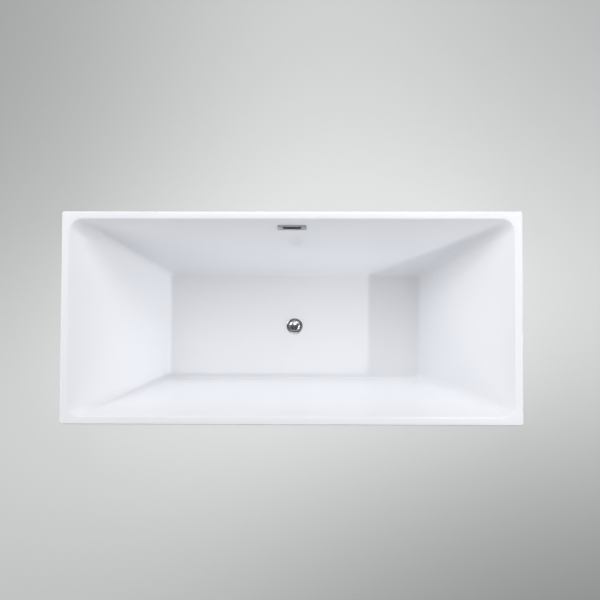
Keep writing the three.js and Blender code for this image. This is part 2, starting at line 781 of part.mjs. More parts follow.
function overflowTopNut() {
  const low = SPIGOT[0] - 7;
  const nut = { ...pipeNutSizes, low, shoulder: SPIGOT[0] - GAP, high: low + PIPE_NUT_LENGTH };
  return pipeNut(nut).translate(0, PIPE_Y, 0);
}

function overflowLowNut() {
  const nut = { ...pipeNutSizes, low: -7, shoulder: -GAP, high: PIPE_NUT_LENGTH - 7 };
  return pipeNut(nut).rotateX(Math.PI / 2).translate(0, INLET_END, RUN_Z);
}

// ---------------------------------------------------------------- assembly

const tub = new THREE.Group();

function add(name, geometry, material) {
  const mesh = new THREE.Mesh(geometry, material);
  mesh.name = name;
  tub.add(mesh);
}

add("basin", basin(), acrylic);
add("basin_backing", basinBacking(), fibreglass);
add("floor_board", floorBoard(), chipboard);
add("skirt", skirt(), acrylic);

add("frame_rail_front", longRail(-RAIL_Y), galvanised);
add("frame_rail_back", longRail(RAIL_Y), galvanised);
add("frame_end_left", endRail(-END_RAIL_X), galvanised);
add("frame_end_right", endRail(END_RAIL_X), galvanised);
CROSSBAR_X.forEach((x, index) => add(`frame_crossbar_${index + 1}`, crossbar(x), galvanised));

const sideBracket = (x) => skirtBracket(RAIL_Y + TUBE / 2, WIDTH / 2).translate(x, 0, 0);
const endBracket = () => skirtBracket(END_RAIL_X + TUBE / 2, LENGTH / 2);
add("skirt_bracket_back_left", sideBracket(-BRACKET_X), galvanised);
add("skirt_bracket_back_right", sideBracket(BRACKET_X), galvanised);
add("skirt_bracket_front_left", sideBracket(BRACKET_X).rotateZ(Math.PI), galvanised);
add("skirt_bracket_front_right", sideBracket(-BRACKET_X).rotateZ(Math.PI), galvanised);
add("skirt_bracket_end_left", endBracket().rotateZ(Math.PI / 2), galvanised);
add("skirt_bracket_end_right", endBracket().rotateZ(-Math.PI / 2), galvanised);

const feet = [-RAIL_Y, RAIL_Y].flatMap((y) => FOOT_X.map((x) => [x, y]));
feet.forEach(([x, y], index) => {
  add(`foot_${index + 1}_pad`, footPad().translate(x, y, 0), nylon);
  add(`foot_${index + 1}_stud`, footStud().translate(x, y, 0), stainless);
  add(`foot_${index + 1}_lock_nut`, footLockNut().translate(x, y, 0), stainless);
});

const sealLow = FLOOR_TOP + GAP;
add("drain_flange", drainFlange(), chrome);
add("drain_seal", washer(TAIL_RADIUS + 3, FLANGE_RADIUS - 1.5, sealLow, sealLow + FLANGE_SEAL), rubber);
add("drain_gasket", washer(TAIL_RADIUS + 4, WASTE_COLLAR, WASTE_TOP + GAP, BOARD_TOP), rubber);
add("waste_body", wasteBody(), pvc);
add("outlet_nut", outletNut(), pvc);
const tailpiece = washer(TAILPIECE_BORE, TAILPIECE_RADIUS, TAILPIECE_BOTTOM, TAILPIECE_TOP);
add("outlet_tailpiece", tailpiece, pvc);
add("plug_cap", plugCap(), chrome);
const plugSealInner = STEM_RADIUS + GAP;
add("plug_seal", washer(plugSealInner, PLUG_RADIUS - 1.5, PLUG_SEAL_BOTTOM, PLUG_SEAL_TOP), rubber);
add("plug_stem", bar(STEM_RADIUS, STEM_BOTTOM, PLUG_SEAL_TOP), stainless);
add("plug_guide", plugGuide(), nylon);

add("overflow_cover", overflowCover(), chrome);
add("overflow_screw_left", overflowScrew(-COVER_SCREW_X), chrome);
add("overflow_screw_right", overflowScrew(COVER_SCREW_X), chrome);
add("overflow_gasket", overflowGasket(), rubber);
add("overflow_housing", overflowHousing(), pvc);
add("overflow_nut_top", overflowTopNut(), pvc);
add("overflow_drop_pipe", overflowDropPipe(), pvc);
add("overflow_elbow", overflowElbow(), pvc);
add("overflow_run_pipe", overflowRunPipe(), pvc);
add("overflow_nut_low", overflowLowNut(), pvc);

export default tub;
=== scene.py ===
"""A freestanding rectangular bathtub: acrylic basin and skirt, chrome drain and overflow, and the
board, frame, screw feet and pipes that they hide. Metres, +X along the tub, +Y towards the
overflow, +Z up, with the origin on the ground under the tub's middle."""

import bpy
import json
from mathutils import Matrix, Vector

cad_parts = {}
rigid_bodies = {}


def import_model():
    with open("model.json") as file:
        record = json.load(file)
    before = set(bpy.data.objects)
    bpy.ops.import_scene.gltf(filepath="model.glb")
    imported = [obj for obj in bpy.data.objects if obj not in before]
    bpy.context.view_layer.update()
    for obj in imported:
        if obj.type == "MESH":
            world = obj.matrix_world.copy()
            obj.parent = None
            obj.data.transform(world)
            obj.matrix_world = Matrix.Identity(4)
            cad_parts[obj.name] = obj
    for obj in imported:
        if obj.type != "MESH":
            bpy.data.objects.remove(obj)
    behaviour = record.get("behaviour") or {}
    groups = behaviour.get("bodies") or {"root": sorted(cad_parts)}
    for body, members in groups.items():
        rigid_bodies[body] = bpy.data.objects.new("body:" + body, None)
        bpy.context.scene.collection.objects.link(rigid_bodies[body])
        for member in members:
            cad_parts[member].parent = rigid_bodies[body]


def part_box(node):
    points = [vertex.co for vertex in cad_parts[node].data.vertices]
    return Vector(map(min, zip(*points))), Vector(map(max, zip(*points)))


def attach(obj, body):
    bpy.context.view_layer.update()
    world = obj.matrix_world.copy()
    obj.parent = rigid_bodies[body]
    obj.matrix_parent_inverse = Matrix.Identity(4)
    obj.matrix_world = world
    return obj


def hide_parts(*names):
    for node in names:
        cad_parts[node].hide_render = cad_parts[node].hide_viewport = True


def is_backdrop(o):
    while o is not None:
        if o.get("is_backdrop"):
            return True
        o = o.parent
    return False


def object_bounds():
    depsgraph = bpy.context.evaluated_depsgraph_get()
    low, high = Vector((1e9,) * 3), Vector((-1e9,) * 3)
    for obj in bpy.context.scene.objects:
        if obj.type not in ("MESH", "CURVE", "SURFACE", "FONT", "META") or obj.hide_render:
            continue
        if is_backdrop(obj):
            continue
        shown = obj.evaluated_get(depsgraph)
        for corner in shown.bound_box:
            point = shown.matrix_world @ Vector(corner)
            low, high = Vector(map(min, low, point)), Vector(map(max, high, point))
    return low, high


bl_info = {
    "name": "Freestanding Bathtub",
    "version": (1, 0, 0),
    "blender": (4, 5, 0),
    "location": "View3D > Sidebar > Bathtub",
    "description": "Builds a rectangular freestanding bathtub around its packed frame",
    "category": "Add Mesh",
}

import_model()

import json
import math

import bmesh
import bpy
from bpy.props import FloatProperty, FloatVectorProperty, PointerProperty
from mathutils import Matrix, Vector

CAD_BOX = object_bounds()
MM = 0.001
QUARTER = math.pi / 2
GAP = 0.3 * MM
FULL_TURN = 2 * math.pi

# Smaller radii count as on the axis, and smaller climbs as level.
ON_AXIS = 1e-7
LEVEL = 1e-6


# ---------------------------------------------------------------- sizes and colours


def length(name, description, default):
    return FloatProperty(
        name=name, description=description, default=default, min=0, unit="LENGTH", precision=4
    )


def colour(name, description, default):
    return FloatVectorProperty(
        name=name, description=description, default=default, subtype="COLOR", size=3, min=0, max=1
    )


def middle_of(node):
    """The middle of a node's box."""
    return [(low + high) / 2 for low, high in zip(*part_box(node))]


RIM_LOW, RIM_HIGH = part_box("basin")
SKIRT_LOW, SKIRT_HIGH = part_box("skirt")
FOOT_X = [middle_of(f"foot_{number}_pad")[0] for number in (1, 2, 3)]
PIPE_Y = middle_of("overflow_drop_pipe")[1]
RUN_Z = middle_of("overflow_run_pipe")[2]

# How far each bracket is turned, in degrees, from one on the back wall.
BRACKETS = {
    "skirt_bracket_back_left": 0,
    "skirt_bracket_back_right": 0,
    "skirt_bracket_front_left": 180,
    "skirt_bracket_front_right": 180,
    "skirt_bracket_end_left": 90,
    "skirt_bracket_end_right": -90,
}

# The overflow: how far its middle is under the rim, the length, height and corner of the hole
# for its neck, and the radius of the holes for its screws.
OVERFLOW_DROP = 0.062
NECK_HOLE = (0.078, 0.021, 0.004)
SCREW_HOLE = 0.0026

# The overflow's pipes, and the sockets and threaded spigots that take them, by radius.
PIPE_OUTSIDE = 0.0125
PIPE_INSIDE = 0.0105
PIPE_SOCKET = 0.0128
SPIGOT = 0.0155
SPIGOT_BORE = 0.0095
SPIGOT_PITCH = 0.0026

# The drain's outlet: its thread, and the socket for its tailpiece, by radius.
WASTE_THREAD = 0.024
OUTLET_SOCKET = 0.0193

# A nut's outside, the part over the thread and the part over the pipe, by radius.
PIPE_NUT = (0.019, 0.0158, PIPE_SOCKET)
OUTLET_NUT = (0.029, 0.0243, OUTLET_SOCKET)


class BasinShape(bpy.types.PropertyGroup):
    """The basin's sizes."""

    length: length("Length", "Outside of the rim, along the tub", RIM_HIGH.x - RIM_LOW.x)
    width: length("Width", "Outside of the rim, across the tub", RIM_HIGH.y - RIM_LOW.y)
    height: length("Height", "Ground to the top of the rim", RIM_HIGH.z)
    depth: length("Depth", "Top of the rim to the floor of the basin", 0.430)
    floor_length: length("Floor length", "Where the end walls would meet the floor", 0.966)
    floor_width: length("Floor width", "Where the long walls would meet the floor", 0.400)
    floor_corner: length("Floor corner", "Corner radius at the floor", 0.018)
    end_fillet: length("End fillet", "Rounding from the floor into an end wall", 0.030)
    side_fillet: length("Side fillet", "Rounding from the floor into a long wall", 0.014)
    rim_width: length("Rim width", "Flat rim, measured to the wall's plane", 0.028)
    rim_corner: length("Rim corner", "Outside corner radius of the rim", 0.008)
    rim_edge: length("Rim edge", "Rounding of the rim's outer top edge", 0.003)
    mouth_corner: length("Mouth corner", "Corner radius of the basin at the rim", 0.046)
    mouth_edge: length("Mouth edge", "Rounding from the rim into the basin", 0.007)
    lip_drop: length("Lip drop", "How far the rim turns down outside", 0.035)
    acrylic: length("Acrylic", "Thickness of the sheet", 0.005)
    fibreglass: length("Fibreglass", "Thickness of the backing", 0.0035)


class SkirtShape(bpy.types.PropertyGroup):
    """The skirt's sizes."""

    seam_top: length("Seam", "Height of the shadow gap under the rim's lip", 0.5442)
    bottom: length("Bottom", "Clearance over the ground", SKIRT_LOW.z)
    thickness: length("Thickness", "Thickness of the skirt's wall", 0.005)
    draft: length("Draft", "How far the skirt draws in from top to bottom", 0.014)
    corner: length("Corner", "Corner radius", 0.009)
    tongue: length("Tongue", "Thickness of the tongue inside the lip", 0.004)
    tongue_inset: length("Tongue inset", "Tongue's face, in from the rim's outside", 0.0053)
    tongue_low: length("Tongue foot", "Height where the tongue meets the wall", 0.524)
    turn_in: length("Turn-in", "Depth of the flange round the foot", 0.025)
    turn_in_height: length("Turn-in height", "Thickness of that flange", 0.005)


class FrameShape(bpy.types.PropertyGroup):
    """The frame's and feet's sizes."""

    tube: length("Tube", "Side of the square steel tube", 0.030)
    tube_wall: length("Tube wall", "Thickness of the tube", 0.002)
    tube_corner: length("Tube corner", "Outside corner radius of the tube", 0.003)
    nut_flats: length("Nut", "Across the flats of the nuts", 0.019)
    stud: length("Stud", "Diameter of the feet's studs", 0.012)
    pitch: length("Pitch", "Rise of the studs' thread in one turn", 0.00175)
    bracket: length("Bracket", "Thickness of the brackets' strip", 0.003)
    bracket_width: length("Bracket width", "Width of the brackets' strip", 0.040)
    rail_leg: length("Rail leg", "Height of the leg against the rail", 0.0943)
    bolt_reach: length("Bolt", "How far a bolt's head stands out", 0.0025)


class DrainShape(bpy.types.PropertyGroup):
    """The drain's sizes."""

    flange: length("Flange", "Diameter of the chrome flange", 0.062)
    throat: length("Throat", "Bore of the drain", 0.036)
    tail: length("Tail", "Diameter of the threaded tail", 0.042)


class OverflowShape(bpy.types.PropertyGroup):
    """The overflow's sizes."""

    cover: length("Cover", "Length of the cover plate", 0.107)
    cover_height: length("Cover height", "Height of the cover plate", 0.032)
    cover_thickness: length("Cover thickness", "Thickness of the cover plate", 0.004)
    slot: length("Slot", "Length of the slot", 0.070)
    slot_height: length("Slot height", "Height of the slot", 0.0125)
    slot_rise: length("Slot rise", "How far the slot stands above the cover's middle", 0.0026)
    screw_x: length("Screws", "How far the screws stand from the middle", 0.045)


class FinishColours(bpy.types.PropertyGroup):
    """The colours of the materials."""

    acrylic: colour("Acrylic", "White sanitary acrylic", (0.842, 0.853, 0.888))
    chrome: colour("Chrome", "Polished chrome", (0.78, 0.79, 0.81))
    satin: colour("Satin chrome", "Satin chrome of the overflow cover", (0.40, 0.41, 0.43))
    fibreglass: colour("Fibreglass", "Sprayed glass-fibre backing", (0.60, 0.57, 0.42))
    board: colour("Board", "Chipboard", (0.47, 0.29, 0.14))
    steel: colour("Steel", "Galvanised steel tube", (0.50, 0.52, 0.54))
    rubber: colour("Rubber", "Black rubber", (0.018, 0.018, 0.019))
    pipe: colour("Pipe", "White waste pipe", (0.74, 0.75, 0.73))
    nylon: colour("Nylon", "Black nylon", (0.025, 0.026, 0.030))
    ground: colour("Ground", "Studio floor under its wash", (0.245, 0.25, 0.2475))


class StudioLight(bpy.types.PropertyGroup):
    """How strong each light is."""

    key: FloatProperty(name="Key", description="Low sun from the right", default=0.74, min=0)
    boxes: FloatProperty(name="Boxes", description="All softboxes, in watts", default=312, min=0)
    sky: FloatProperty(name="Sky", description="Light from all round", default=0.06, min=0)
    floor: FloatProperty(name="Floor", description="Wash on the floor", default=8.9, min=0)


# ---------------------------------------------------------------- editing by hand


def clear_selection():
    """Leaves edit mode and deselects everything."""
    if bpy.context.object and bpy.context.object.mode != "OBJECT":
        bpy.ops.object.mode_set(mode="OBJECT")
    bpy.ops.object.select_all(action="DESELECT")


def choose(piece):
    """Selects one piece and makes it the active one."""
    clear_selection()
    piece.select_set(True)
    bpy.context.view_layer.objects.active = piece


def start(name, add, **settings):
    """Adds one primitive at its place and opens it for editing with all of it selected."""
    clear_selection()
    add(**settings)
    piece = bpy.context.object
    piece.name = piece.data.name = name
    bpy.ops.object.transform_apply(location=True, rotation=True, scale=True)
    bpy.ops.object.mode_set(mode="EDIT")
    bpy.ops.mesh.select_all(action="SELECT")
    return piece


def pick(piece, kind, wanted):
    """Selects the vertices, edges or faces of the open mesh that `wanted` says yes to."""
    bpy.ops.mesh.select_mode(type=kind)
    bpy.ops.mesh.select_all(action="DESELECT")
    mesh = bmesh.from_edit_mesh(piece.data)
    mesh.verts.index_update()
    parts = {"VERT": mesh.verts, "EDGE": mesh.edges, "FACE": mesh.faces}[kind]
    for part in parts:
        if wanted(part):
            part.select_set(True)
    mesh.select_flush_mode()
    bmesh.update_edit_mesh(piece.data)


def rise_of(edge):
    """How far an edge climbs."""
    return abs(edge.verts[0].co.z - edge.verts[1].co.z)


def close(piece, angle=30):
    """Leaves edit mode with doubles merged, faces outwards and smooth shading."""
    bpy.ops.mesh.select_mode(type="VERT")
    bpy.ops.mesh.select_all(action="SELECT")
    bpy.ops.mesh.remove_doubles(threshold=1e-6)
    bpy.ops.mesh.normals_make_consistent(inside=False)
    bpy.ops.object.mode_set(mode="OBJECT")
    smooth(piece, angle)
    return piece


def smooth(piece, angle=30):
    choose(piece)
    bpy.ops.object.shade_smooth_by_angle(angle=math.radians(angle))


def modify(piece, kind, **settings):
    """Adds a modifier and applies it."""
    choose(piece)
    modifier = piece.modifiers.new(kind.title(), kind)
    for key, value in settings.items():
        setattr(modifier, key, value)
    bpy.ops.object.modifier_apply(modifier=modifier.name)
    return piece


def cut(piece, *tools, operation="DIFFERENCE"):
    """Cuts the tools out of the piece, or joins them to it, and removes them."""
    for tool in tools:
        modify(piece, "BOOLEAN", operation=operation, solver="MANIFOLD", object=tool)
        bpy.data.objects.remove(tool)
    bpy.ops.object.mode_set(mode="EDIT")
    bpy.ops.mesh.select_all(action="SELECT")
    bpy.ops.mesh.normals_make_consistent(inside=False)
    bpy.ops.object.mode_set(mode="OBJECT")
    return piece


def join(first, *others):
    """Makes one mesh of several."""
    choose(first)
    for piece in others:
        piece.select_set(True)
    bpy.ops.object.join()
    return first


def settle(piece, matrix):
    """Turns and moves a piece, with its place kept in its mesh."""
    choose(piece)
    piece.matrix_world = matrix
    bpy.ops.object.transform_apply(location=True, rotation=True, scale=True)
    return piece


def copied(piece, name, matrix):
    """A copy with its own mesh, at another place."""
    twin = piece.copy()
    twin.data = piece.data.copy()
    twin.name = twin.data.name = name
    bpy.context.scene.collection.objects.link(twin)
    return settle(twin, matrix)


def fit_in(piece, body, material, replaces):
    """Gives a piece its finish and its place in the frame."""
    piece.data.materials.clear()
    piece.data.materials.append(material)
    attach(piece, body)
    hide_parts(*replaces)


# ---------------------------------------------------------------- shapes


def softened(profile, steps=4):
    """A list of (radius, height) points from one of (radius, height, rounding) corners."""
    points = [corner[:2] for corner in profile]
    result = []
    for place, corner in enumerate(profile):
        rounding = corner[2] if len(corner) > 2 else 0
        if not rounding:
            result.append(points[place])
            continue
        here = Vector(points[place])
        before = (Vector(points[place - 1]) - here).normalized()
        after = (Vector(points[(place + 1) % len(points)]) - here).normalized()
        half = before.angle(after) / 2
        reach = rounding / math.tan(half)
        centre = here + (before + after).normalized() * rounding / math.sin(half)
        first = here + before * reach - centre
        last = here + after * reach - centre
        for step in range(steps + 1):
            share = step / steps
            arm = (first * (1 - share) + last * share).normalized() * rounding
            result.append(tuple(centre + arm))
    return result


def turned(name, profile, sides, at=(0.0, 0.0), closed=False, angle=30):
    """Turns a profile about an upright axis. A closed profile makes a ring, and one that starts or
    ends on the axis is capped there."""
    points = [point for point in profile if point[0] > ON_AXIS]
    x, y = at
    radius, height = points[0]
    piece = start(
        name,
        bpy.ops.mesh.primitive_circle_add,
        vertices=sides,
        radius=radius,
        location=(x, y, height),
        fill_type="NOTHING",
    )
    for next_radius, next_height in points[1:]:
        rise = {"value": (0, 0, next_height - height)}
        bpy.ops.mesh.extrude_edges_move(TRANSFORM_OT_translate=rise)
        share = next_radius / radius
        centre = (x, y, next_height)
        bpy.ops.transform.resize(value=(share, share, 1), center_override=centre)
        radius, height = next_radius, next_height
    last_ring = (len(points) - 1) * sides

    def on_first(edge):
        return all(vert.index < sides for vert in edge.verts)

    def on_last(edge):
        return all(vert.index >= last_ring for vert in edge.verts)

    if closed:
        pick(piece, "EDGE", lambda edge: on_first(edge) or on_last(edge))
        bpy.ops.mesh.bridge_edge_loops()
        return close(piece, angle)
    cap(profile[-1], height)
    if profile[0][0] <= ON_AXIS:
        pick(piece, "EDGE", on_first)
        cap(profile[0], points[0][1])
    return close(piece, angle)


def cap(point, height):
    """Closes the selected ring to a point on the axis."""
    if point[0] > ON_AXIS:
        return
    rise = {"value": (0, 0, point[1] - height)}
    bpy.ops.mesh.extrude_edges_move(TRANSFORM_OT_translate=rise)
    bpy.ops.mesh.merge(type="CENTER")


def block(name, low, high, rounding=0.0):
    """A block between two corners with its edges rounded."""
    low, high = Vector(low), Vector(high)
    piece = start(
        name,
        bpy.ops.mesh.primitive_cube_add,
        size=1,
        location=(low + high) / 2,
        scale=high - low,
    )
    if rounding:
        bpy.ops.mesh.bevel(offset=rounding, segments=2, affect="EDGES")
    return close(piece)


def bar(name, radius, low, high, at=(0.0, 0.0), sides=32):
    return turned(name, [(0, low), (radius, low), (radius, high), (0, high)], sides, at)


def hexagon(name, flats, low, high, at=(0.0, 0.0)):
    """A hexagon bar with its corners chamfered at both ends."""
    x, y = at
    corner = flats / math.sqrt(3)
    piece = start(
        name,
        bpy.ops.mesh.primitive_cylinder_add,
        vertices=6,
        radius=corner,
        depth=high - low,
        location=(x, y, (low + high) / 2),
    )
    close(piece)
    flat = 0.94 * flats / 2
    drop = (corner - flat) * 0.45
    outer = corner * 1.01
    profile = [(0, low), (flat, low), (outer, low + drop)]
    profile += [(outer, high - drop), (flat, high), (0, high)]
    cut(piece, turned("lens", profile, 48, at), operation="INTERSECT")
    smooth(piece)
    return piece


def slab(name, size_x, size_y, corner, low, high, segments=6, edge=0.0):
    """An upright slab with rounded corners and softened top and bottom edges."""
    piece = start(
        name,
        bpy.ops.mesh.primitive_cube_add,
        size=1,
        location=(0, 0, (low + high) / 2),
        scale=(size_x, size_y, high - low),
    )
    pick(piece, "EDGE", lambda part: rise_of(part) > (high - low) / 2)
    bpy.ops.mesh.bevel(offset=corner, segments=segments, affect="EDGES")
    if edge:
        pick(piece, "EDGE", lambda part: rise_of(part) < LEVEL)
        bpy.ops.mesh.bevel(offset=edge, segments=2, affect="EDGES")
    return close(piece)


def round_about(radius, count):
    """Places evenly round the upright axis."""
    turns = [FULL_TURN * step / count for step in range(count)]
    return [(radius * math.cos(turn), radius * math.sin(turn)) for turn in turns]


def in_mm(profile):
    return [tuple(value * MM for value in corner) for corner in profile]


def draw_line(points):
    """Moves the open mesh's one vertex to the first point and draws on through the others."""
    bpy.ops.mesh.select_all(action="SELECT")
    bpy.ops.transform.translate(value=points[0])
    for before, after in zip(points, points[1:]):
        step = {"value": after - before}
        bpy.ops.mesh.extrude_vertices_move(TRANSFORM_OT_translate=step)


def plate(name, outline, low, high, edge):
    """An upright plate with an outline of (x, y) points, its rims softened by `edge`."""
    piece = start(name, bpy.ops.mesh.primitive_plane_add, size=1)
    bpy.ops.mesh.merge(type="CENTER")
    draw_line([Vector((x, y, low)) for x, y in outline])
    bpy.ops.mesh.select_all(action="SELECT")
    bpy.ops.mesh.edge_face_add()
    rise = {"value": (0, 0, high - low)}
    bpy.ops.mesh.extrude_region_move(TRANSFORM_OT_translate=rise)
    pick(piece, "EDGE", lambda part: rise_of(part) < LEVEL)
    bpy.ops.mesh.bevel(offset=edge, segments=2, affect="EDGES")
    return close(piece)


RING = "ring"


def ring_numbers(piece):
    """Which ring each vertex of the open mesh belongs to."""
    mesh = bmesh.from_edit_mesh(piece.data)
    return mesh, mesh.verts.layers.int.get(RING) or mesh.verts.layers.int.new(RING)


def number_selected(piece, number):
    mesh, ring = ring_numbers(piece)
    for vert in mesh.verts:
        if vert.select:
            vert[ring] = number
    bmesh.update_edit_mesh(piece.data)


def pick_rings(piece, *numbers, longer=0.0, along=None):
    """Selects the edges that run along the numbered rings, or only the long ones."""
    ring = ring_numbers(piece)[1]

    def wanted(edge):
        first, second = edge.verts
        if first[ring] != second[ring] or first[ring] not in numbers:
            return False
        return along is None or abs(first.co[along] - second.co[along]) > longer

    pick(piece, "EDGE", wanted)


def add_ring(piece, number, level, segments, cuts):
    """Adds a rounded rectangle to the open mesh, as a numbered ring of edges."""
    x, y, corner, z = level
    bpy.ops.mesh.select_all(action="DESELECT")
    bpy.ops.mesh.primitive_plane_add(size=2, location=(0, 0, z))
    bpy.ops.transform.resize(value=(x, y, 1), center_override=(0, 0, z))
    bpy.ops.mesh.bevel(offset=corner, segments=segments, affect="VERTICES")
    number_selected(piece, number)
    bpy.ops.mesh.delete(type="ONLY_FACE")
    for axis, count in enumerate(cuts):
        if not count:
            continue
        half = (x, y)[axis] - corner
        pick_rings(piece, number, longer=1.9 * half, along=axis)
        bpy.ops.mesh.subdivide(number_cuts=count)
        number_selected(piece, number)
    pick_rings(piece, number)


def lofted(name, levels, segments=10, cuts=(24, 12), filled=(), closed=False):
    """A skin through rounded rectangles, given as (half length, half width, corner, height).
    The numbered rings are filled, or the last one is bridged to the first to close it."""
    piece = start(name, bpy.ops.mesh.primitive_plane_add, size=1)
    bpy.ops.mesh.delete(type="VERT")
    for number, level in enumerate(levels, start=1):
        add_ring(piece, number, level, segments, cuts)
        if number == 1:
            continue
        level_with_last = abs(level[3] - levels[number - 2][3]) < 1e-5
        lift = Vector((0, 0, 0.001 if level_with_last else 0))
        bpy.ops.transform.translate(value=lift)
        pick_rings(piece, number - 1, number)
        bpy.ops.mesh.bridge_edge_loops(type="SINGLE")
        pick_rings(piece, number)
        bpy.ops.transform.translate(value=-lift)
    if closed:
        pick(piece, "EDGE", lambda edge: edge.is_boundary)
        bpy.ops.mesh.bridge_edge_loops()
    for number in filled:
        pick_rings(piece, number)
        bpy.ops.mesh.edge_face_add()
    return close(piece)


# ---------------------------------------------------------------- materials


# A Mix node's sockets for colours, by number, as its other kinds share their names.
MIX_COLOURS = (6, 7)
MIX_RESULT = 2


class Socket:
    """A value in a material's nodes, so that sums of masks read as sums."""

    def __init__(self, finish, socket):
        self.finish = finish
        self.socket = socket

    def math(self, operation, *values):
        return self.finish.node("ShaderNodeMath", {"operation": operation}, *values)

    def __add__(self, other):
        return self.math("ADD", self, other)

    def __mul__(self, other):
        return self.math("MULTIPLY", self, other)

    def __sub__(self, other):
        return self.math("SUBTRACT", self, other)

    def __rsub__(self, other):
        return self.math("SUBTRACT", other, self)

    __radd__ = __add__
    __rmul__ = __mul__


def socket_of(node, label):
    """The input called Base Color for base_color, and so on."""
    return next(each for each in node.inputs if each.name.lower().replace(" ", "_") == label)


class Finish:
    """One material and the nodes that make it."""

    def __init__(self, name, **shader):
        self.material = bpy.data.materials.new(name)
        self.material.use_nodes = True
        self.tree = self.material.node_tree
        self.shader = self.tree.nodes["Principled BSDF"]
        self.set(**shader)

    def node(self, kind, settings=None, *values, out=0, **named):
        """Adds a node with its settings, then the values or links of its sockets."""
        made = self.tree.nodes.new(kind)
        for key, value in (settings or {}).items():
            setattr(made, key, value)
        for place, value in enumerate(values):
            self.feed(made.inputs[place], value)
        for label, value in named.items():
            self.feed(socket_of(made, label), value)
        return Socket(self, made.outputs[out])

    def feed(self, socket, value):
        if isinstance(value, Socket):
            self.tree.links.new(value.socket, socket)
        else:
            if socket.type == "RGBA" and len(value) == 3:
                value = (*value, 1)
            socket.default_value = value

    def place(self):
        return self.node("ShaderNodeTexCoord", out="Object")

    def stretched(self, scale):
        return self.node("ShaderNodeMapping", None, vector=self.place(), scale=scale)

    def noise(self, scale, detail, roughness=0.5, vector=None):
        vector = vector or self.place()
        sockets = {"vector": vector, "scale": scale, "detail": detail, "roughness": roughness}
        return self.node("ShaderNodeTexNoise", None, out="Fac", **sockets)

    def cells(self, scale, vector=None):
        """Cells with one level of grey each, taken from the cells' random colours."""
        vector = vector or self.place()
        cells = self.node("ShaderNodeTexVoronoi", None, out="Color", vector=vector, scale=scale)
        return self.node("ShaderNodeSeparateColor", None, cells)

    def mixed(self, share, first, second):
        """One colour mixed into another."""
        mix = self.node("ShaderNodeMix", {"data_type": "RGBA"}, share, out=MIX_RESULT)
        for place, value in zip(MIX_COLOURS, (first, second)):
            self.feed(mix.socket.node.inputs[place], value)
        return mix

    def set(self, **values):
        for label, value in values.items():
            self.feed(socket_of(self.shader, label), value)

    def bump(self, height, distance, strength=1.0):
        normal = self.node(
            "ShaderNodeBump", None, strength=strength, distance=distance, height=height
        )
        self.set(normal=normal)


def shade(colour_value, factor):
    return tuple(min(1.0, channel * factor) for channel in colour_value)


def acrylic_finish(tint):
    """White acrylic: deep gloss over a sheet that the mould has left very slightly wavy."""
    finish = Finish("acrylic", roughness=0.1, ior=1.49)
    drift = finish.noise(2.2, 2)
    finish.set(base_color=finish.mixed(drift, shade(tint, 0.99), shade(tint, 1.01)))
    haze = finish.noise(35, 4, 0.6)
    finish.set(roughness=0.03 + haze * 0.04)
    wave = finish.noise(2.6, 1) + finish.noise(420, 2) * 0.004
    finish.bump(wave, 0.0012)
    return finish.material


def chrome_finish(tint):
    finish = Finish("chrome", metallic=1.0)
    finish.set(base_color=tint)
    water_marks = finish.noise(90, 5, 0.65)
    finish.set(roughness=0.17 + water_marks * 0.08)
    finish.bump(finish.noise(160, 2), 0.0001, 0.15)
    return finish.material


def satin_finish(tint):
    """Satin chrome, darker than the polished kind."""
    finish = Finish("satin_chrome", metallic=1.0)
    drift = finish.noise(55, 3)
    finish.set(base_color=finish.mixed(drift, shade(tint, 0.92), shade(tint, 1.08)))
    finish.set(roughness=0.22 + drift * 0.08)
    finish.bump(finish.noise(700, 2), 0.00005, 0.2)
    return finish.material


def rubber_finish(tint):
    finish = Finish("rubber")
    grain = finish.noise(900, 4)
    finish.set(base_color=finish.mixed(grain, tint, shade(tint, 1.9)))
    finish.set(roughness=0.62 + grain * 0.2)
    finish.bump(grain, 0.0002, 0.5)
    return finish.material


def pipe_finish(tint):
    finish = Finish("pipe_plastic", ior=1.46)
    drift = finish.noise(14, 3)
    finish.set(base_color=finish.mixed(drift, shade(tint, 0.95), tint))
    grain = finish.noise(700, 3)
    finish.set(roughness=0.34 + grain * 0.12)
    finish.bump(grain, 0.0001, 0.3)
    return finish.material


def nylon_finish(tint):
    finish = Finish("nylon")
    grain = finish.noise(1300, 3)
    finish.set(base_color=finish.mixed(grain, tint, shade(tint, 1.7)))
    finish.set(roughness=0.5 + grain * 0.18)
    finish.bump(grain, 0.00015, 0.4)
    return finish.material


def galvanised_finish(tint):
    """Zinc on steel: soft spangles, with duller and brighter patches."""
    finish = Finish("galvanised", metallic=0.9)
    spangle = finish.cells(90)
    finish.set(base_color=finish.mixed(spangle, shade(tint, 0.8), shade(tint, 1.15)))
    finish.set(roughness=0.3 + spangle * 0.16 + finish.noise(20, 3) * 0.1)
    finish.bump(finish.noise(240, 3), 0.0002, 0.25)
    return finish.material


def zinc_finish(tint):
    finish = Finish("zinc_plate", metallic=1.0)
    drift = finish.noise(60, 3)
    finish.set(base_color=finish.mixed(drift, shade(tint, 0.95), shade(tint, 1.25)))
    finish.set(roughness=0.24 + drift * 0.14)
    finish.bump(finish.noise(900, 2), 0.00008, 0.3)
    return finish.material


def fibreglass_finish(tint):
    """Chopped strands rolled down in resin."""
    finish = Finish("fibreglass", ior=1.5)
    strands = finish.noise(70, 6, 0.7, finish.stretched((1, 0.18, 1)))
    across = finish.noise(70, 6, 0.7, finish.stretched((0.18, 1, 1)))
    mat = strands * 0.5 + across * 0.5
    finish.set(base_color=finish.mixed(mat, shade(tint, 0.72), shade(tint, 1.35)))
    finish.set(roughness=0.5 + mat * 0.35)
    finish.bump(mat, 0.0012, 0.8)
    return finish.material


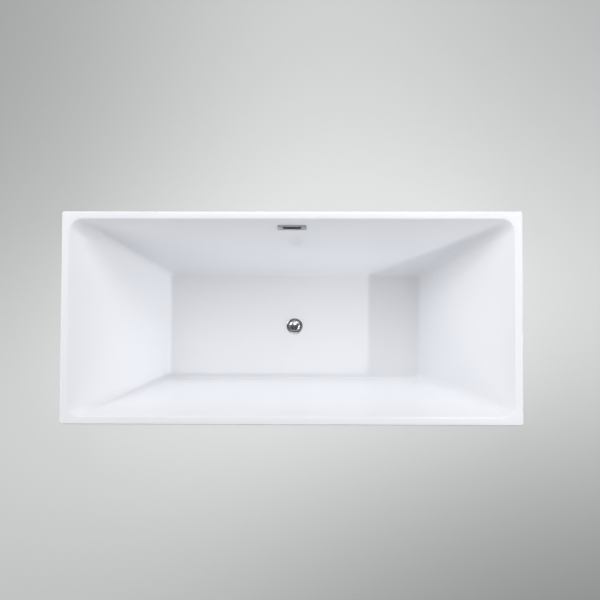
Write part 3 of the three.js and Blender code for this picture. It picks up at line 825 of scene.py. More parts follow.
def board_finish(tint):
    """Chipboard: pale and dark flakes of several sizes."""
    finish = Finish("chipboard")
    flakes = finish.cells(190, finish.stretched((1, 0.45, 1)))
    dust = finish.noise(500, 3)
    wood = finish.mixed(flakes, shade(tint, 0.62), shade(tint, 1.6))
    finish.set(base_color=finish.mixed(dust * 0.35, wood, shade(tint, 0.8)))
    finish.set(roughness=0.7 + dust * 0.2)
    finish.bump(flakes * 0.6 + dust * 0.4, 0.0004, 0.5)
    return finish.material


FINISHES = {}


def finishes():
    """The materials, made once."""
    if not FINISHES:
        tint = bpy.context.scene.tub_colours
        FINISHES.update(
            acrylic=acrylic_finish(tuple(tint.acrylic)),
            chrome=chrome_finish(tuple(tint.chrome)),
            satin=satin_finish(tuple(tint.satin)),
            rubber=rubber_finish(tuple(tint.rubber)),
            pipe=pipe_finish(tuple(tint.pipe)),
            nylon=nylon_finish(tuple(tint.nylon)),
            galvanised=galvanised_finish(tuple(tint.steel)),
            zinc=zinc_finish(tuple(tint.steel)),
            fibreglass=fibreglass_finish(tuple(tint.fibreglass)),
            board=board_finish(tuple(tint.board)),
        )
    return FINISHES


# ---------------------------------------------------------------- basin


class Wall:
    """A basin wall seen end on: how far it stands from the middle at each height."""

    def __init__(self, shape, top, foot, fillet):
        self.shape = shape
        self.top = top
        self.foot = foot
        self.fillet = fillet
        self.lean = math.atan2(top - foot, shape.depth)

    def plane(self, z, outside=0.0):
        rise = z - (self.shape.height - self.shape.depth)
        return self.foot + rise * math.tan(self.lean) + outside / math.cos(self.lean)

    def setback(self, radius):
        return radius * math.tan((QUARTER - self.lean) / 2)

    def reach(self, z, outside=0.0):
        shape = self.shape
        floor = shape.height - shape.depth - outside
        radius = self.fillet + outside
        height = z - floor
        if height < radius * (1 - math.sin(self.lean)):
            centre = self.plane(floor, outside) - self.setback(radius)
            return centre + math.sqrt(max(0.0, radius**2 - (radius - height) ** 2))
        edge = shape.mouth_edge
        if not outside and z > shape.height - edge * (1 - math.sin(self.lean)):
            rise = min(z, shape.height) - shape.height + edge
            centre = self.plane(shape.height) + self.setback(edge)
            return centre - math.sqrt(max(0.0, edge**2 - rise**2))
        return self.plane(z, outside)


def walls(shape):
    end = Wall(shape, shape.length / 2 - shape.rim_width, shape.floor_length / 2, shape.end_fillet)
    side = Wall(shape, shape.width / 2 - shape.rim_width, shape.floor_width / 2, shape.side_fillet)
    return end, side


def basin_levels(shape, outside=0.0, top=None):
    """The basin's rings from the floor up to the flat of the rim."""
    end, side = walls(shape)
    floor = shape.height - shape.depth - outside
    top = top or shape.height
    foot = (shape.end_fillet + outside) * (1 - math.sin(end.lean))
    rises = [foot * (1 - math.cos(QUARTER * step / 9)) for step in range(10)]
    wall_top = top if outside else top - shape.mouth_edge * (1 - math.sin(side.lean))
    start_z = floor + foot
    rises += [foot + (wall_top - start_z) * step / 10 for step in range(1, 11)]
    if not outside:
        edge = shape.mouth_edge
        turns = [side.lean + (QUARTER - side.lean) * step / 6 for step in range(1, 7)]
        rises += [top - edge * (1 - math.sin(turn)) - floor for turn in turns]
    levels = []
    for rise in rises:
        share = rise / (shape.height - floor)
        corner = shape.floor_corner + (shape.mouth_corner - shape.floor_corner) * share + outside
        z = floor + rise
        levels.append((end.reach(z, outside), side.reach(z, outside), corner, z))
    return levels


def rim_levels(shape):
    """The rim's rings from its flat, round its outer edge and down its lip."""
    x, y = shape.length / 2, shape.width / 2
    edge = shape.rim_edge
    levels = [(x - 0.012, y - 0.012, 0.03, shape.height)]
    for step in range(6):
        turn = QUARTER * step / 5
        inset = edge * (1 - math.sin(turn))
        z = shape.height - edge * (1 - math.cos(turn))
        levels.append((x - inset, y - inset, shape.rim_corner - inset, z))
    for drop in (0.010, 0.020, 0.030, shape.lip_drop):
        levels.append((x, y, shape.rim_corner, shape.height - drop))
    return levels


def lip_levels(shape):
    """The rings inside the lip, from its foot up to the underside of the rim."""
    x, y = shape.length / 2 - shape.acrylic, shape.width / 2 - shape.acrylic
    foot, top = shape.height - shape.lip_drop, shape.height - shape.acrylic
    corner = shape.rim_corner - shape.acrylic
    return [(x, y, corner, z) for z in (foot, foot + 0.01, top - 0.01, top)]


def overflow_place(shape):
    """The middle of the overflow on the back wall: local Z into the basin, local Y up the wall."""
    side = walls(shape)[1]
    z = shape.height - OVERFLOW_DROP
    turn = Matrix.Rotation(QUARTER - side.lean, 4, "X")
    return Matrix.Translation((0, side.reach(z), z)) @ turn


def overflow_holes(shape, low, high, sides):
    """The cutters for the overflow's neck and for its two screws."""
    neck = slab("neck_hole", *NECK_HOLE, low, high)
    return [neck, *screw_holes(shape, low, high, sides)]


def screw_holes(shape, low, high, sides=24):
    places = (-shape.screw_x, shape.screw_x)
    return [bar("screw_hole", SCREW_HOLE, low, high, (x, 0), sides) for x in places]


class TUB_OT_basin(bpy.types.Operator):
    """Builds the acrylic basin with its rim and lip, and the fibreglass behind it."""

    bl_idname = "tub.basin"
    bl_label = "Basin"

    def execute(self, context):
        shape = context.scene.tub_basin
        finish = finishes()
        back = shape.acrylic
        near = basin_levels(shape) + rim_levels(shape)
        far = lip_levels(shape) + basin_levels(shape, back, shape.height - back)[::-1]
        basin = lofted("basin_shell", near + far, filled=(1, len(near + far)))
        self.drill(basin, context.scene, 0.023)
        fit_in(basin, "tub", finish["acrylic"], ["basin"])
        top = shape.height - 0.014
        near = basin_levels(shape, back + GAP, top)
        far = basin_levels(shape, back + GAP + shape.fibreglass, top)[::-1]
        backing = lofted("fibreglass_backing", near + far, filled=(1, len(near + far)))
        self.drill(backing, context.scene, 0.024)
        fit_in(backing, "tub", finish["fibreglass"], ["basin_backing"])
        return {"FINISHED"}

    def drill(self, piece, scene, radius):
        """Cuts the drain hole and the overflow's holes."""
        shape = scene.tub_basin
        floor = shape.height - shape.depth
        hole = bar("drain_hole", radius, floor - 0.02, floor + 0.01, sides=48)
        holes = overflow_holes(scene.tub_overflow, -0.02, 0.004, 16)
        for tool in holes:
            settle(tool, overflow_place(shape))
        cut(piece, hole, *holes)
        smooth(piece)


# ---------------------------------------------------------------- skirt and board


class TUB_OT_skirt(bpy.types.Operator):
    """Builds the tapered outer skirt with its tongue and turned-in foot."""

    bl_idname = "tub.skirt"
    bl_label = "Skirt"

    def execute(self, context):
        shape = context.scene.tub_skirt
        skirt = lofted("skirt_shell", self.levels(shape), 8, (20, 10), closed=True)
        fit_in(skirt, "tub", finishes()["acrylic"], ["skirt"])
        return {"FINISHED"}

    def levels(self, shape):
        """Once round the skirt's section, from the seam down the outside and up the inside."""
        top = shape.seam_top
        corner = max(0.002, shape.corner)
        slope = shape.draft / (top - shape.bottom)
        wall = shape.thickness
        foot = shape.bottom + shape.turn_in_height
        tongue = shape.tongue_inset
        inner = tongue + shape.tongue
        soft, fillet = 0.0012, 0.003

        def level(inset, z):
            return (RIM_HIGH.x - inset, RIM_HIGH.y - inset, corner, z)

        outside = [level(soft, top), level(soft * 0.3, top - soft * 0.3), level(0, top - soft)]
        for share in (0.15, 0.4, 0.65, 0.9):
            z = top + (shape.bottom - top) * share
            outside.append(level(slope * (top - z), z))
        draft = shape.draft
        outside.append(level(draft, shape.bottom + soft))
        outside.append(level(draft + soft, shape.bottom))
        lip = draft + wall + shape.turn_in
        turn_in = [level(lip, shape.bottom), level(lip, foot)]
        bend = slope * (top - foot) + wall
        inside = [level(bend + fillet, foot), level(bend, foot + fillet)]
        for share in (0.35, 0.7, 1.0):
            z = foot + (shape.tongue_low - foot) * share
            inside.append(level(slope * (top - z) + wall, z))
        inside += [level(inner, shape.tongue_low + 0.002), level(inner, SKIRT_HIGH.z)]
        tip = [level(tongue, SKIRT_HIGH.z), level(tongue, top)]
        return outside + turn_in + inside + tip


class TUB_OT_board(bpy.types.Operator):
    """Builds the chipboard floor board under the basin."""

    bl_idname = "tub.board"
    bl_label = "Floor board"

    def execute(self, context):
        low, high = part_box("floor_board")
        size = high - low
        board = slab("chip_board", size.x, size.y, 0.020, low.z, high.z, 8, edge=0.0006)
        cut(board, bar("board_hole", 0.040, low.z - 0.01, high.z + 0.01, sides=64))
        smooth(board)
        fit_in(board, "tub", finishes()["board"], ["floor_board"])
        return {"FINISHED"}


# ---------------------------------------------------------------- frame


def square_tube(name, half, wall, corner, long):
    """A square tube along Z about the origin, open at both ends."""
    bore = half - wall
    inner = corner - wall
    ends = (-long / 2, long / 2)
    levels = [(half, half, corner, z) for z in ends]
    levels += [(bore, bore, max(inner, 0.0008), z) for z in reversed(ends)]
    return lofted(name, levels, 4, (0, 0), closed=True)


class TUB_OT_frame(bpy.types.Operator):
    """Builds the welded steel frame: two long rails, two end rails and four crossbars."""

    bl_idname = "tub.frame"
    bl_label = "Frame"

    def execute(self, context):
        shape = context.scene.tub_frame
        self.steel = finishes()["galvanised"]
        for side in ("front", "back"):
            self.long_rail(shape, f"frame_rail_{side}")
        for side in ("left", "right"):
            self.tube_for(shape, f"frame_end_{side}", "Y")
        for number in range(1, 5):
            self.tube_for(shape, f"frame_crossbar_{number}", "Y")
        return {"FINISHED"}

    def tube_for(self, shape, node, axis, place=True):
        """A tube that fills the box of a node, lying along X or Y."""
        low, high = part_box(node)
        size = high - low
        along = size.x if axis == "X" else size.y
        half = shape.tube / 2
        x, y, _ = middle_of(node)
        centre = Vector((x, y, high.z - half))
        turn = Matrix.Rotation(QUARTER, 4, "Y" if axis == "X" else "X")
        tube = square_tube(node + "_tube", half, shape.tube_wall, shape.tube_corner, along)
        settle(tube, Matrix.Translation(centre) @ turn)
        if place:
            fit_in(tube, "tub", self.steel, [node])
        return tube

    def long_rail(self, shape, node):
        """A long rail with the weld nuts under it, drilled for the studs."""
        tube = self.tube_for(shape, node, "X", place=False)
        low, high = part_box(node)
        y = middle_of(node)[1]
        under = high.z - shape.tube
        nuts = []
        for x in FOOT_X:
            nut = hexagon("weld_nut", shape.nut_flats, low.z, under + 0.001, at=(x, y))
            bead = [(0.0085, 0.0), (0.0125, 0.0), (0.0118, -0.0016), (0.0102, -0.0022)]
            bead = [(radius, under + 0.0004 + rise) for radius, rise in bead]
            nuts += [nut, turned("weld_bead", bead, 24, (x, y), closed=True)]
        tube = cut(tube, *nuts, operation="UNION")
        hole = shape.stud / 2 + GAP
        holes = [bar("stud_hole", hole, low.z - 0.01, high.z + 0.01, (x, y), 24) for x in FOOT_X]
        cut(tube, join(*holes))
        smooth(tube)
        fit_in(tube, "tub", self.steel, [node])


class TUB_OT_brackets(bpy.types.Operator):
    """Builds the six bent strips that hold the skirt, each with its bolt."""

    bl_idname = "tub.brackets"
    bl_label = "Skirt brackets"

    def execute(self, context):
        shape = context.scene.tub_frame
        for node, turn in BRACKETS.items():
            back = Matrix.Rotation(math.radians(-turn), 4, "Z")
            low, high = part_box(node)
            corners = [back @ low, back @ high]
            near = min(corner.y for corner in corners)
            far = max(corner.y for corner in corners)
            x = (corners[0].x + corners[1].x) / 2
            place = Matrix.Rotation(math.radians(turn), 4, "Z") @ Matrix.Translation((x, 0, 0))
            strip = self.strip(shape, near, far, low.z, high.z, shape.rail_leg)
            strip.name = f"{node}_strip"
            settle(strip, place)
            fit_in(strip, "tub", finishes()["zinc"], [node])
        return {"FINISHED"}

    def strip(self, shape, near, far, low, high, leg):
        """A strip bent up at both ends, with a flanged bolt through the rail's leg."""
        steel, bend = shape.bracket, shape.bracket * 1.6
        path = [
            (near, leg),
            (near, low, bend),
            (far, low, bend),
            (far, high),
            (far - steel, high),
            (far - steel, low + steel, bend - steel),
            (near + steel, low + steel, bend - steel),
            (near + steel, leg),
        ]
        half = shape.bracket_width / 2
        strip = plate("bracket_strip", softened(path, 5), -half, half, 0.0004)
        settle(strip, Matrix(((0, 0, 1, 0), (1, 0, 0, 0), (0, 1, 0, 0), (0, 0, 0, 1))))
        z = (low + steel + leg) / 2
        head = hexagon("bolt_head", 0.010, 0.0008, shape.bolt_reach)
        face = bar("bolt_face", 0.0068, -0.001, 0.0012)
        bolt = cut(head, face, operation="UNION")
        settle(bolt, Matrix.Translation((0, near + steel, z)) @ Matrix.Rotation(-QUARTER, 4, "X"))
        cut(strip, bolt, operation="UNION")
        smooth(strip)
        return strip


# ---------------------------------------------------------------- feet


class TUB_OT_feet(bpy.types.Operator):
    """Builds the six screw feet, each a ribbed pad, a threaded stud and a lock nut."""

    bl_idname = "tub.feet"
    bl_label = "Feet"

    def execute(self, context):
        shape = context.scene.tub_frame
        finish = finishes()
        patterns = {
            "pad": (self.pad(shape), "nylon", "foot_plastic", "foot_{}"),
            "stud": (self.stud(shape), "zinc", "stainless", "stud_{}"),
            "lock_nut": (self.lock_nut(shape), "zinc", "stainless", "tub"),
        }
        for part, (pattern, look, slot, body) in patterns.items():
            for number in range(1, 7):
                node = f"foot_{number}_{part}"
                x, y, _ = middle_of(node)
                twin = copied(pattern, node + "_shape", Matrix.Translation((x, y, 0)))
                fit_in(twin, body.format(number), finish[look], [node])
            bpy.data.objects.remove(pattern)
        return {"FINISHED"}

    def pad(self, shape):
        """A nylon pad with a knurled edge and a socket for its stud."""
        hole = shape.stud / 2 + GAP
        profile = in_mm(
            [(0, 0), (23, 0, 0.8), (25, 2, 1.2), (25, 6, 1.2), (14, 11, 4), (12, 20, 1.2)]
        )
        profile += [(hole, 0.020), (hole, 0.008), (0, 0.008)]
        pad = turned("foot_pad", softened(profile), 48)
        grooves = [bar("groove", 0.0011, -0.001, 0.0095, at, 10) for at in round_about(0.0256, 24)]
        cut(pad, join(*grooves))
        smooth(pad)
        return pad

    def stud(self, shape):
        """A threaded bar, its thread wound once round for every pitch, with chamfered ends."""
        low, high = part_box("foot_1_stud")
        radius, pitch = shape.stud / 2, shape.pitch
        turns = int((high.z - low.z) / pitch) + 3
        start_z = low.z - 1.5 * pitch
        root = radius - 0.58 * pitch
        tooth = [(radius, 0.06), (root, 0.44), (root, 0.56), (radius, 0.94)]
        path = []
        for turn in range(turns):
            path += [(size, start_z + (turn + share) * pitch) for size, share in tooth]
        stud = start("foot_stud", bpy.ops.mesh.primitive_plane_add, size=1)
        bpy.ops.mesh.merge(type="CENTER")
        draw_line([Vector((size, 0, z)) for size, z in path])
        bpy.ops.object.mode_set(mode="OBJECT")
        modify(
            stud,
            "SCREW",
            axis="Z",
            angle=FULL_TURN,
            screw_offset=pitch,
            steps=24,
            render_steps=24,
            use_merge_vertices=False,
        )
        self.close_thread(stud)
        ends = [(0, low.z), (radius - 0.0012, low.z), (radius + 0.0002, low.z + 0.0013)]
        ends += [(radius + 0.0002, high.z - 0.0013), (radius - 0.0012, high.z), (0, high.z)]
        cut(stud, turned("stud_ends", ends, 48), operation="INTERSECT")
        smooth(stud, 50)
        return stud

    def close_thread(self, stud):
        """Welds each turn of the thread to the next and fills both ends."""
        choose(stud)
        bpy.ops.object.mode_set(mode="EDIT")
        bpy.ops.mesh.select_all(action="SELECT")
        bpy.ops.mesh.remove_doubles(threshold=2e-5)
        middle_z = sum(vert.co.z for vert in stud.data.vertices) / len(stud.data.vertices)
        ends = (
            lambda edge: edge.is_boundary and edge.verts[0].co.z < middle_z,
            lambda edge: edge.is_boundary and edge.verts[0].co.z > middle_z,
        )
        for end in ends:
            pick(stud, "EDGE", end)
            bpy.ops.mesh.edge_face_add()
        close(stud, 50)

    def lock_nut(self, shape):
        low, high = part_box("foot_1_lock_nut")
        nut = hexagon("lock_nut", shape.nut_flats, low.z, high.z)
        hole = shape.stud / 2 + GAP
        edge = 0.0008
        profile = [(0, low.z - 0.001), (hole + edge + 0.001, low.z - 0.001), (hole, low.z + edge)]
        profile += [(hole, high.z - edge), (hole + edge + 0.001, high.z + 0.001)]
        profile += [(0, high.z + 0.001)]
        cut(nut, turned("nut_bore", profile, 32))
        smooth(nut)
        return nut


# ---------------------------------------------------------------- drain


def ring_of(name, inner, outer, low, high, edge, at=(0.0, 0.0), sides=64):
    """An upright ring with its edges rounded."""
    profile = [(inner, low, edge), (outer, low, edge), (outer, high, edge), (inner, high, edge)]
    return turned(name, softened(profile, 3), sides, at, closed=True)


def ring_for(node, name, inner, edge):
    """A ring about the drain's axis that fills a node's box outside its bore."""
    low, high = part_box(node)
    return ring_of(name, inner, high.x, low.z, high.z, edge)


def lying(name, profile, low=0.0, closed=True):
    """A turned pipe laid level along Y, starting `low` from the drain's axis."""
    piece = turned(name, profile, 48, closed=closed)
    turn = Matrix.Rotation(-QUARTER, 4, "X")
    return settle(piece, Matrix.Translation((0, low, RUN_Z)) @ turn)


def grip_nut(name, radius, wide, narrow, shoulder, low, high, ribs):
    """A cap nut about Z with rounded grip ribs, wide inside above its shoulder."""
    profile = [
        (narrow, low, 0.0004),
        (radius, low, 0.0015),
        (radius, high, 0.0008),
        (wide, high),
        (wide, shoulder),
        (narrow, shoulder),
    ]
    nut = turned(name, softened(profile, 3), 64, closed=True)
    rib = [(0, low + 0.003), (0.0010, low + 0.0032), (0.0015, low + 0.005)]
    rib += [(0.0015, high - 0.0025), (0.0010, high - 0.0012), (0, high - 0.001)]
    grips = [turned("grip", rib, 12, at) for at in round_about(radius - 0.0001, ribs)]
    cut(nut, join(*grips), operation="UNION")
    smooth(nut)
    return nut


class TUB_OT_drain(bpy.types.Operator):
    """Builds the chrome drain flange and everything of the waste below it."""

    bl_idname = "tub.drain"
    bl_label = "Drain"

    def execute(self, context):
        shape = context.scene.tub_drain
        finish = finishes()
        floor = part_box("basin")[1].z - context.scene.tub_basin.depth
        fit_in(self.flange(shape, floor), "tub", finish["chrome"], ["drain_flange"])
        seal = ring_for("drain_seal", "flange_seal", 0.024, 0.0002)
        fit_in(seal, "tub", finish["rubber"], ["drain_seal"])
        gasket = ring_for("drain_gasket", "floor_gasket", 0.025, 0.0008)
        fit_in(gasket, "tub", finish["rubber"], ["drain_gasket"])
        fit_in(self.body(), "tub", finish["pipe"], ["waste_body"])
        low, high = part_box("outlet_nut")
        nut = grip_nut("outlet_grip_nut", *OUTLET_NUT, 0.0087, low.z, high.z, 12)
        fit_in(nut, "tub", finish["pipe"], ["outlet_nut"])
        tail = ring_for("outlet_tailpiece", "tail_pipe", 0.0165, 0.0008)
        fit_in(tail, "tub", finish["pipe"], ["outlet_tailpiece"])
        return {"FINISHED"}

    def flange(self, shape, floor):
        """A dished ring with a rolled outer edge, over a threaded tail."""
        low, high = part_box("drain_flange")
        low, top = low.z, high.z
        outer, throat, tail = shape.flange / 2, shape.throat / 2, shape.tail / 2
        under = floor + 0.0014
        profile = [
            (throat, low, 0.0005),
            (tail, low, 0.0008),
            *thread_of(tail, low + 0.002, floor - 0.008, 0.0015),
            (tail, under, 0.0003),
            (outer, under, 0.0005),
            (outer, top - 0.0006, 0.0008),
            (outer - 0.0021, top, 0.0014),
            (throat + 0.0070, top - 0.0010, 0.0200),
            (throat + 0.0028, top - 0.0021, 0.0030),
            (throat, top - 0.0054, 0.0020),
        ]
        return turned("flange_dish", softened(profile, 5), 96, closed=True, angle=40)

    def body(self):
        """The tee under the drain, with its collar, side inlet and outlet thread."""
        low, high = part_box("waste_body")
        low, high = low.z, high.z
        profile = [
            (0, low),
            (WASTE_THREAD, low, 0.0006),
            *thread_of(WASTE_THREAD, low + 0.002, 0.0245, 0.003),
            (WASTE_THREAD, 0.026),
            (0.026, 0.028, 0.001),
            (0.026, high - 0.014, 0.004),
            (0.034, high - 0.007, 0.002),
            (0.034, high, 0.001),
            (0, high),
        ]
        body = turned("waste_tee", softened(profile, 4), 64)
        inlet = lying("side_inlet", spigot_profile(0.021, 0.036, 0.0525, 0.054), closed=False)
        rib_low, rib_high = 0.060, high - 0.012
        ribs = []
        for step in range(8):
            turn = Matrix.Rotation(FULL_TURN * (step + 0.5) / 8, 4, "Z")
            rib = block("collar_rib", (0.022, -0.001, rib_low), (0.0325, 0.001, rib_high), 0.0004)
            ribs.append(settle(rib, turn))
        cut(body, inlet, join(*ribs), operation="UNION")
        inlet_bore = [(0, 0.0), (SPIGOT_BORE, 0.0), (SPIGOT_BORE, 0.0545), (0, 0.0545)]
        socket = [(0, 0.032), (PIPE_SOCKET, 0.032), (PIPE_SOCKET, 0.055), (0, 0.055)]
        bores = [
            bar("tail_bore", 0.0213, 0.102, high + 0.001, sides=64),
            bar("outlet_bore", OUTLET_SOCKET, low - 0.001, 0.104, sides=64),
            lying("inlet_bore", inlet_bore, closed=False),
            lying("socket", socket, closed=False),
        ]
        cut(body, *bores)
        smooth(body)
        return body


def thread_of(radius, low, high, pitch):
    """The ridges of a thread on a straight length, as points of a turned profile."""
    depth = pitch * 0.3
    points = []
    for step in range(int((high - low) / pitch)):
        z = low + step * pitch
        points += [(radius, z), (radius - depth, z + 0.35 * pitch)]
        points += [(radius - depth, z + 0.5 * pitch), (radius, z + 0.85 * pitch)]
    return points


def spigot_profile(low, thread_low, thread_high, high):
    """A solid spigot for a pipe nut, with its thread between two heights."""
    thread = thread_of(SPIGOT, thread_low, thread_high, SPIGOT_PITCH)
    return [(0, low), (SPIGOT, low), *thread, (SPIGOT, high), (0, high)]


class TUB_OT_plug(bpy.types.Operator):
    """Builds the push-down plug: chrome cap, seal, stem and the guide it slides in."""

    bl_idname = "tub.plug"
    bl_label = "Plug"

    def execute(self, context):
        finish = finishes()
        low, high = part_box("plug_cap")
        radius = high.x
        low, high = low.z, high.z
        profile = [
            (0, low),
            (radius - 0.0020, low, 0.0006),
            (radius, low + 0.0012, 0.0010),
            (radius, high - 0.0048, 0.0012),
            (radius * 0.96, high - 0.0038, 0.0008),
            (radius * 0.75, high - 0.0022, 0.0060),
            (radius * 0.5, high - 0.0010, 0.0080),
            (radius * 0.25, high - 0.00025, 0.0080),
            (0, high),
        ]
        cap_piece = turned("cap_dome", softened(profile, 6), 96, angle=40)
        fit_in(cap_piece, "plug", finish["chrome"], ["plug_cap"])
        seal = ring_for("plug_seal", "cap_seal", 0.0043, 0.0008)
        fit_in(seal, "plug", finish["rubber"], ["plug_seal"])
        low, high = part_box("plug_stem")
        thread = thread_of(high.x, low.z + 0.002, low.z + 0.016, 0.0012)
        profile = [(0, low.z), (high.x, low.z, 0.0012), *thread, (high.x, high.z), (0, high.z)]
        stem = turned("plug_rod", softened(profile, 3), 32)
        fit_in(stem, "plug", finish["zinc"], ["plug_stem"])
        fit_in(self.guide(), "tub", finish["nylon"], ["plug_guide"])
        return {"FINISHED"}

    def guide(self):
        low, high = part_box("plug_guide")
        reach = high.x
        low, high = low.z, high.z
        profile = [(0, low), (0.007, low, 0.001), (0.007, high, 0.001), (0, high)]
        barrel = turned("guide_barrel", softened(profile, 3), 32)
        rib_low, rib_high = low + 0.004, high - 0.004
        wide = block("guide_rib", (-reach, -0.001, rib_low), (reach, 0.001, rib_high), 0.0003)
        cross = copied(wide, "guide_rib_2", Matrix.Rotation(QUARTER, 4, "Z"))
        rim = ring_of("guide_rim", 0.016, 0.0177, rib_low, rib_low + 0.004, 0.0003)
        cut(barrel, wide, cross, rim, operation="UNION")
        cut(barrel, bar("guide_bore", 0.0043, low - 0.001, high + 0.001))
        smooth(barrel)
        return barrel


# ---------------------------------------------------------------- overflow


class TUB_OT_overflow(bpy.types.Operator):
    """Builds the chrome overflow cover with its screws, and the gasket and housing behind it."""

    bl_idname = "tub.overflow"
    bl_label = "Overflow"

    def execute(self, context):
        shape = context.scene.tub_overflow
        basin = context.scene.tub_basin
        finish = finishes()
        place = overflow_place(basin)
        cover = self.cover(shape)
        settle(cover, place)
        fit_in(cover, "tub", finish["satin"], ["overflow_cover"])
        for side, x in (("left", -shape.screw_x), ("right", shape.screw_x)):
            screw = self.screw(shape)
            settle(screw, place @ Matrix.Translation((x, 0, 0)))
            fit_in(screw, "tub", finish["chrome"], [f"overflow_screw_{side}"])
        rubber = 0.002
        back = -(basin.acrylic + basin.fibreglass + 2 * GAP) - rubber
        gasket = slab("housing_gasket", 0.108, 0.036, 0.005, back, back + rubber, edge=0.0003)
        cut(gasket, *overflow_holes(shape, back - 0.001, back + 0.003, 24))
        settle(gasket, place)
        smooth(gasket)
        fit_in(gasket, "tub", finish["rubber"], ["overflow_gasket"])
        housing = self.housing(shape, place, back - GAP)
        fit_in(housing, "tub", finish["nylon"], ["overflow_housing"])
        return {"FINISHED"}

    def cover(self, shape):
        """A plate with a softened edge and a round-ended slot that opens out at its front."""
        low, high = GAP, GAP + shape.cover_thickness
        cover = slab("cover_plate", shape.cover, shape.cover_height, 0.0032, low, high, 8)
        choose(cover)
        bpy.ops.object.mode_set(mode="EDIT")
        pick(cover, "EDGE", lambda edge: all(vert.co.z > high - 1e-5 for vert in edge.verts))
        bpy.ops.mesh.bevel(offset=0.0011, segments=3, affect="EDGES")
        close(cover)
        long, tall = shape.slot / 2, shape.slot_height / 2
        slot = slab("slot", 2 * long, 2 * tall, tall - 0.0002, low - 0.001, high + 0.001, 12)
        flare_levels = [
            (long - 0.0002, tall - 0.0002, tall - 0.0006, high - 0.0015),
            (long + 0.0018, tall + 0.0018, tall + 0.0012, high + 0.0005),
        ]
        flare = lofted("slot_flare", flare_levels, 12, (0, 0), filled=(1, 2))
        for tool in (slot, flare):
            settle(tool, Matrix.Translation((0, shape.slot_rise, 0)))
        cut(cover, slot, flare, join(*screw_holes(shape, 0, 0.006)))
        smooth(cover, 40)
        return cover

    def screw(self, shape):
        """A domed screw with a hexagon socket."""
        seat = 2 * GAP + shape.cover_thickness
        profile = [
            (0, -0.026),
            (0.0012, -0.0255),
            (0.0023, -0.0235),
            *thread_of(0.0023, -0.023, -0.011, 0.0009),
            (0.0023, seat, 0.0002),
            (0.0045, seat, 0.0002),
            (0.0043, seat + 0.0011, 0.0006),
            (0.0024, seat + 0.0021, 0.0015),
            (0, seat + 0.0022),
        ]
        screw = turned("cover_screw", softened(profile, 4), 32)
        cut(screw, hexagon("socket_hole", 0.0025, seat + 0.0006, seat + 0.004))
        smooth(screw, 40)
        return screw

    def housing(self, shape, place, front):
        """A box behind the wall with a neck through it and a round outlet below."""
        deep, wall = 0.022, 0.0025
        back = front - deep
        box = slab("overflow_box", 0.112, 0.042, 0.006, back, front, 8, edge=0.0015)
        neck = slab("box_neck", 0.076, 0.019, 0.003, front - 0.001, -0.0005, 6)
        corner = Vector((0.038, 0.021 - wall, front - wall))
        hollow = block("box_hollow", (-corner.x, -corner.y, back + wall), corner)
        mouth = slab("box_mouth", 0.071, 0.014, 0.002, front - 0.006, 0.001, 6)
        screws = screw_holes(shape, back + 0.003, 0.001)
        for piece in (box, neck, hollow, mouth, *screws):
            settle(piece, place)
        low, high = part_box("overflow_housing")[0].z, 0.4965
        at = (0, PIPE_Y)
        spigot = turned("spigot", spigot_profile(low, low + 0.002, low + 0.016, high), 48, at)
        cut(box, neck, spigot, operation="UNION")
        bores = [
            bar("spigot_bore", SPIGOT_BORE, low - 0.001, high - 0.002, at, 48),
            bar("pipe_socket", PIPE_SOCKET, low - 0.001, 0.4863, at, 48),
        ]
        cut(box, hollow, mouth, join(*screws), *bores)
        smooth(box)
        return box


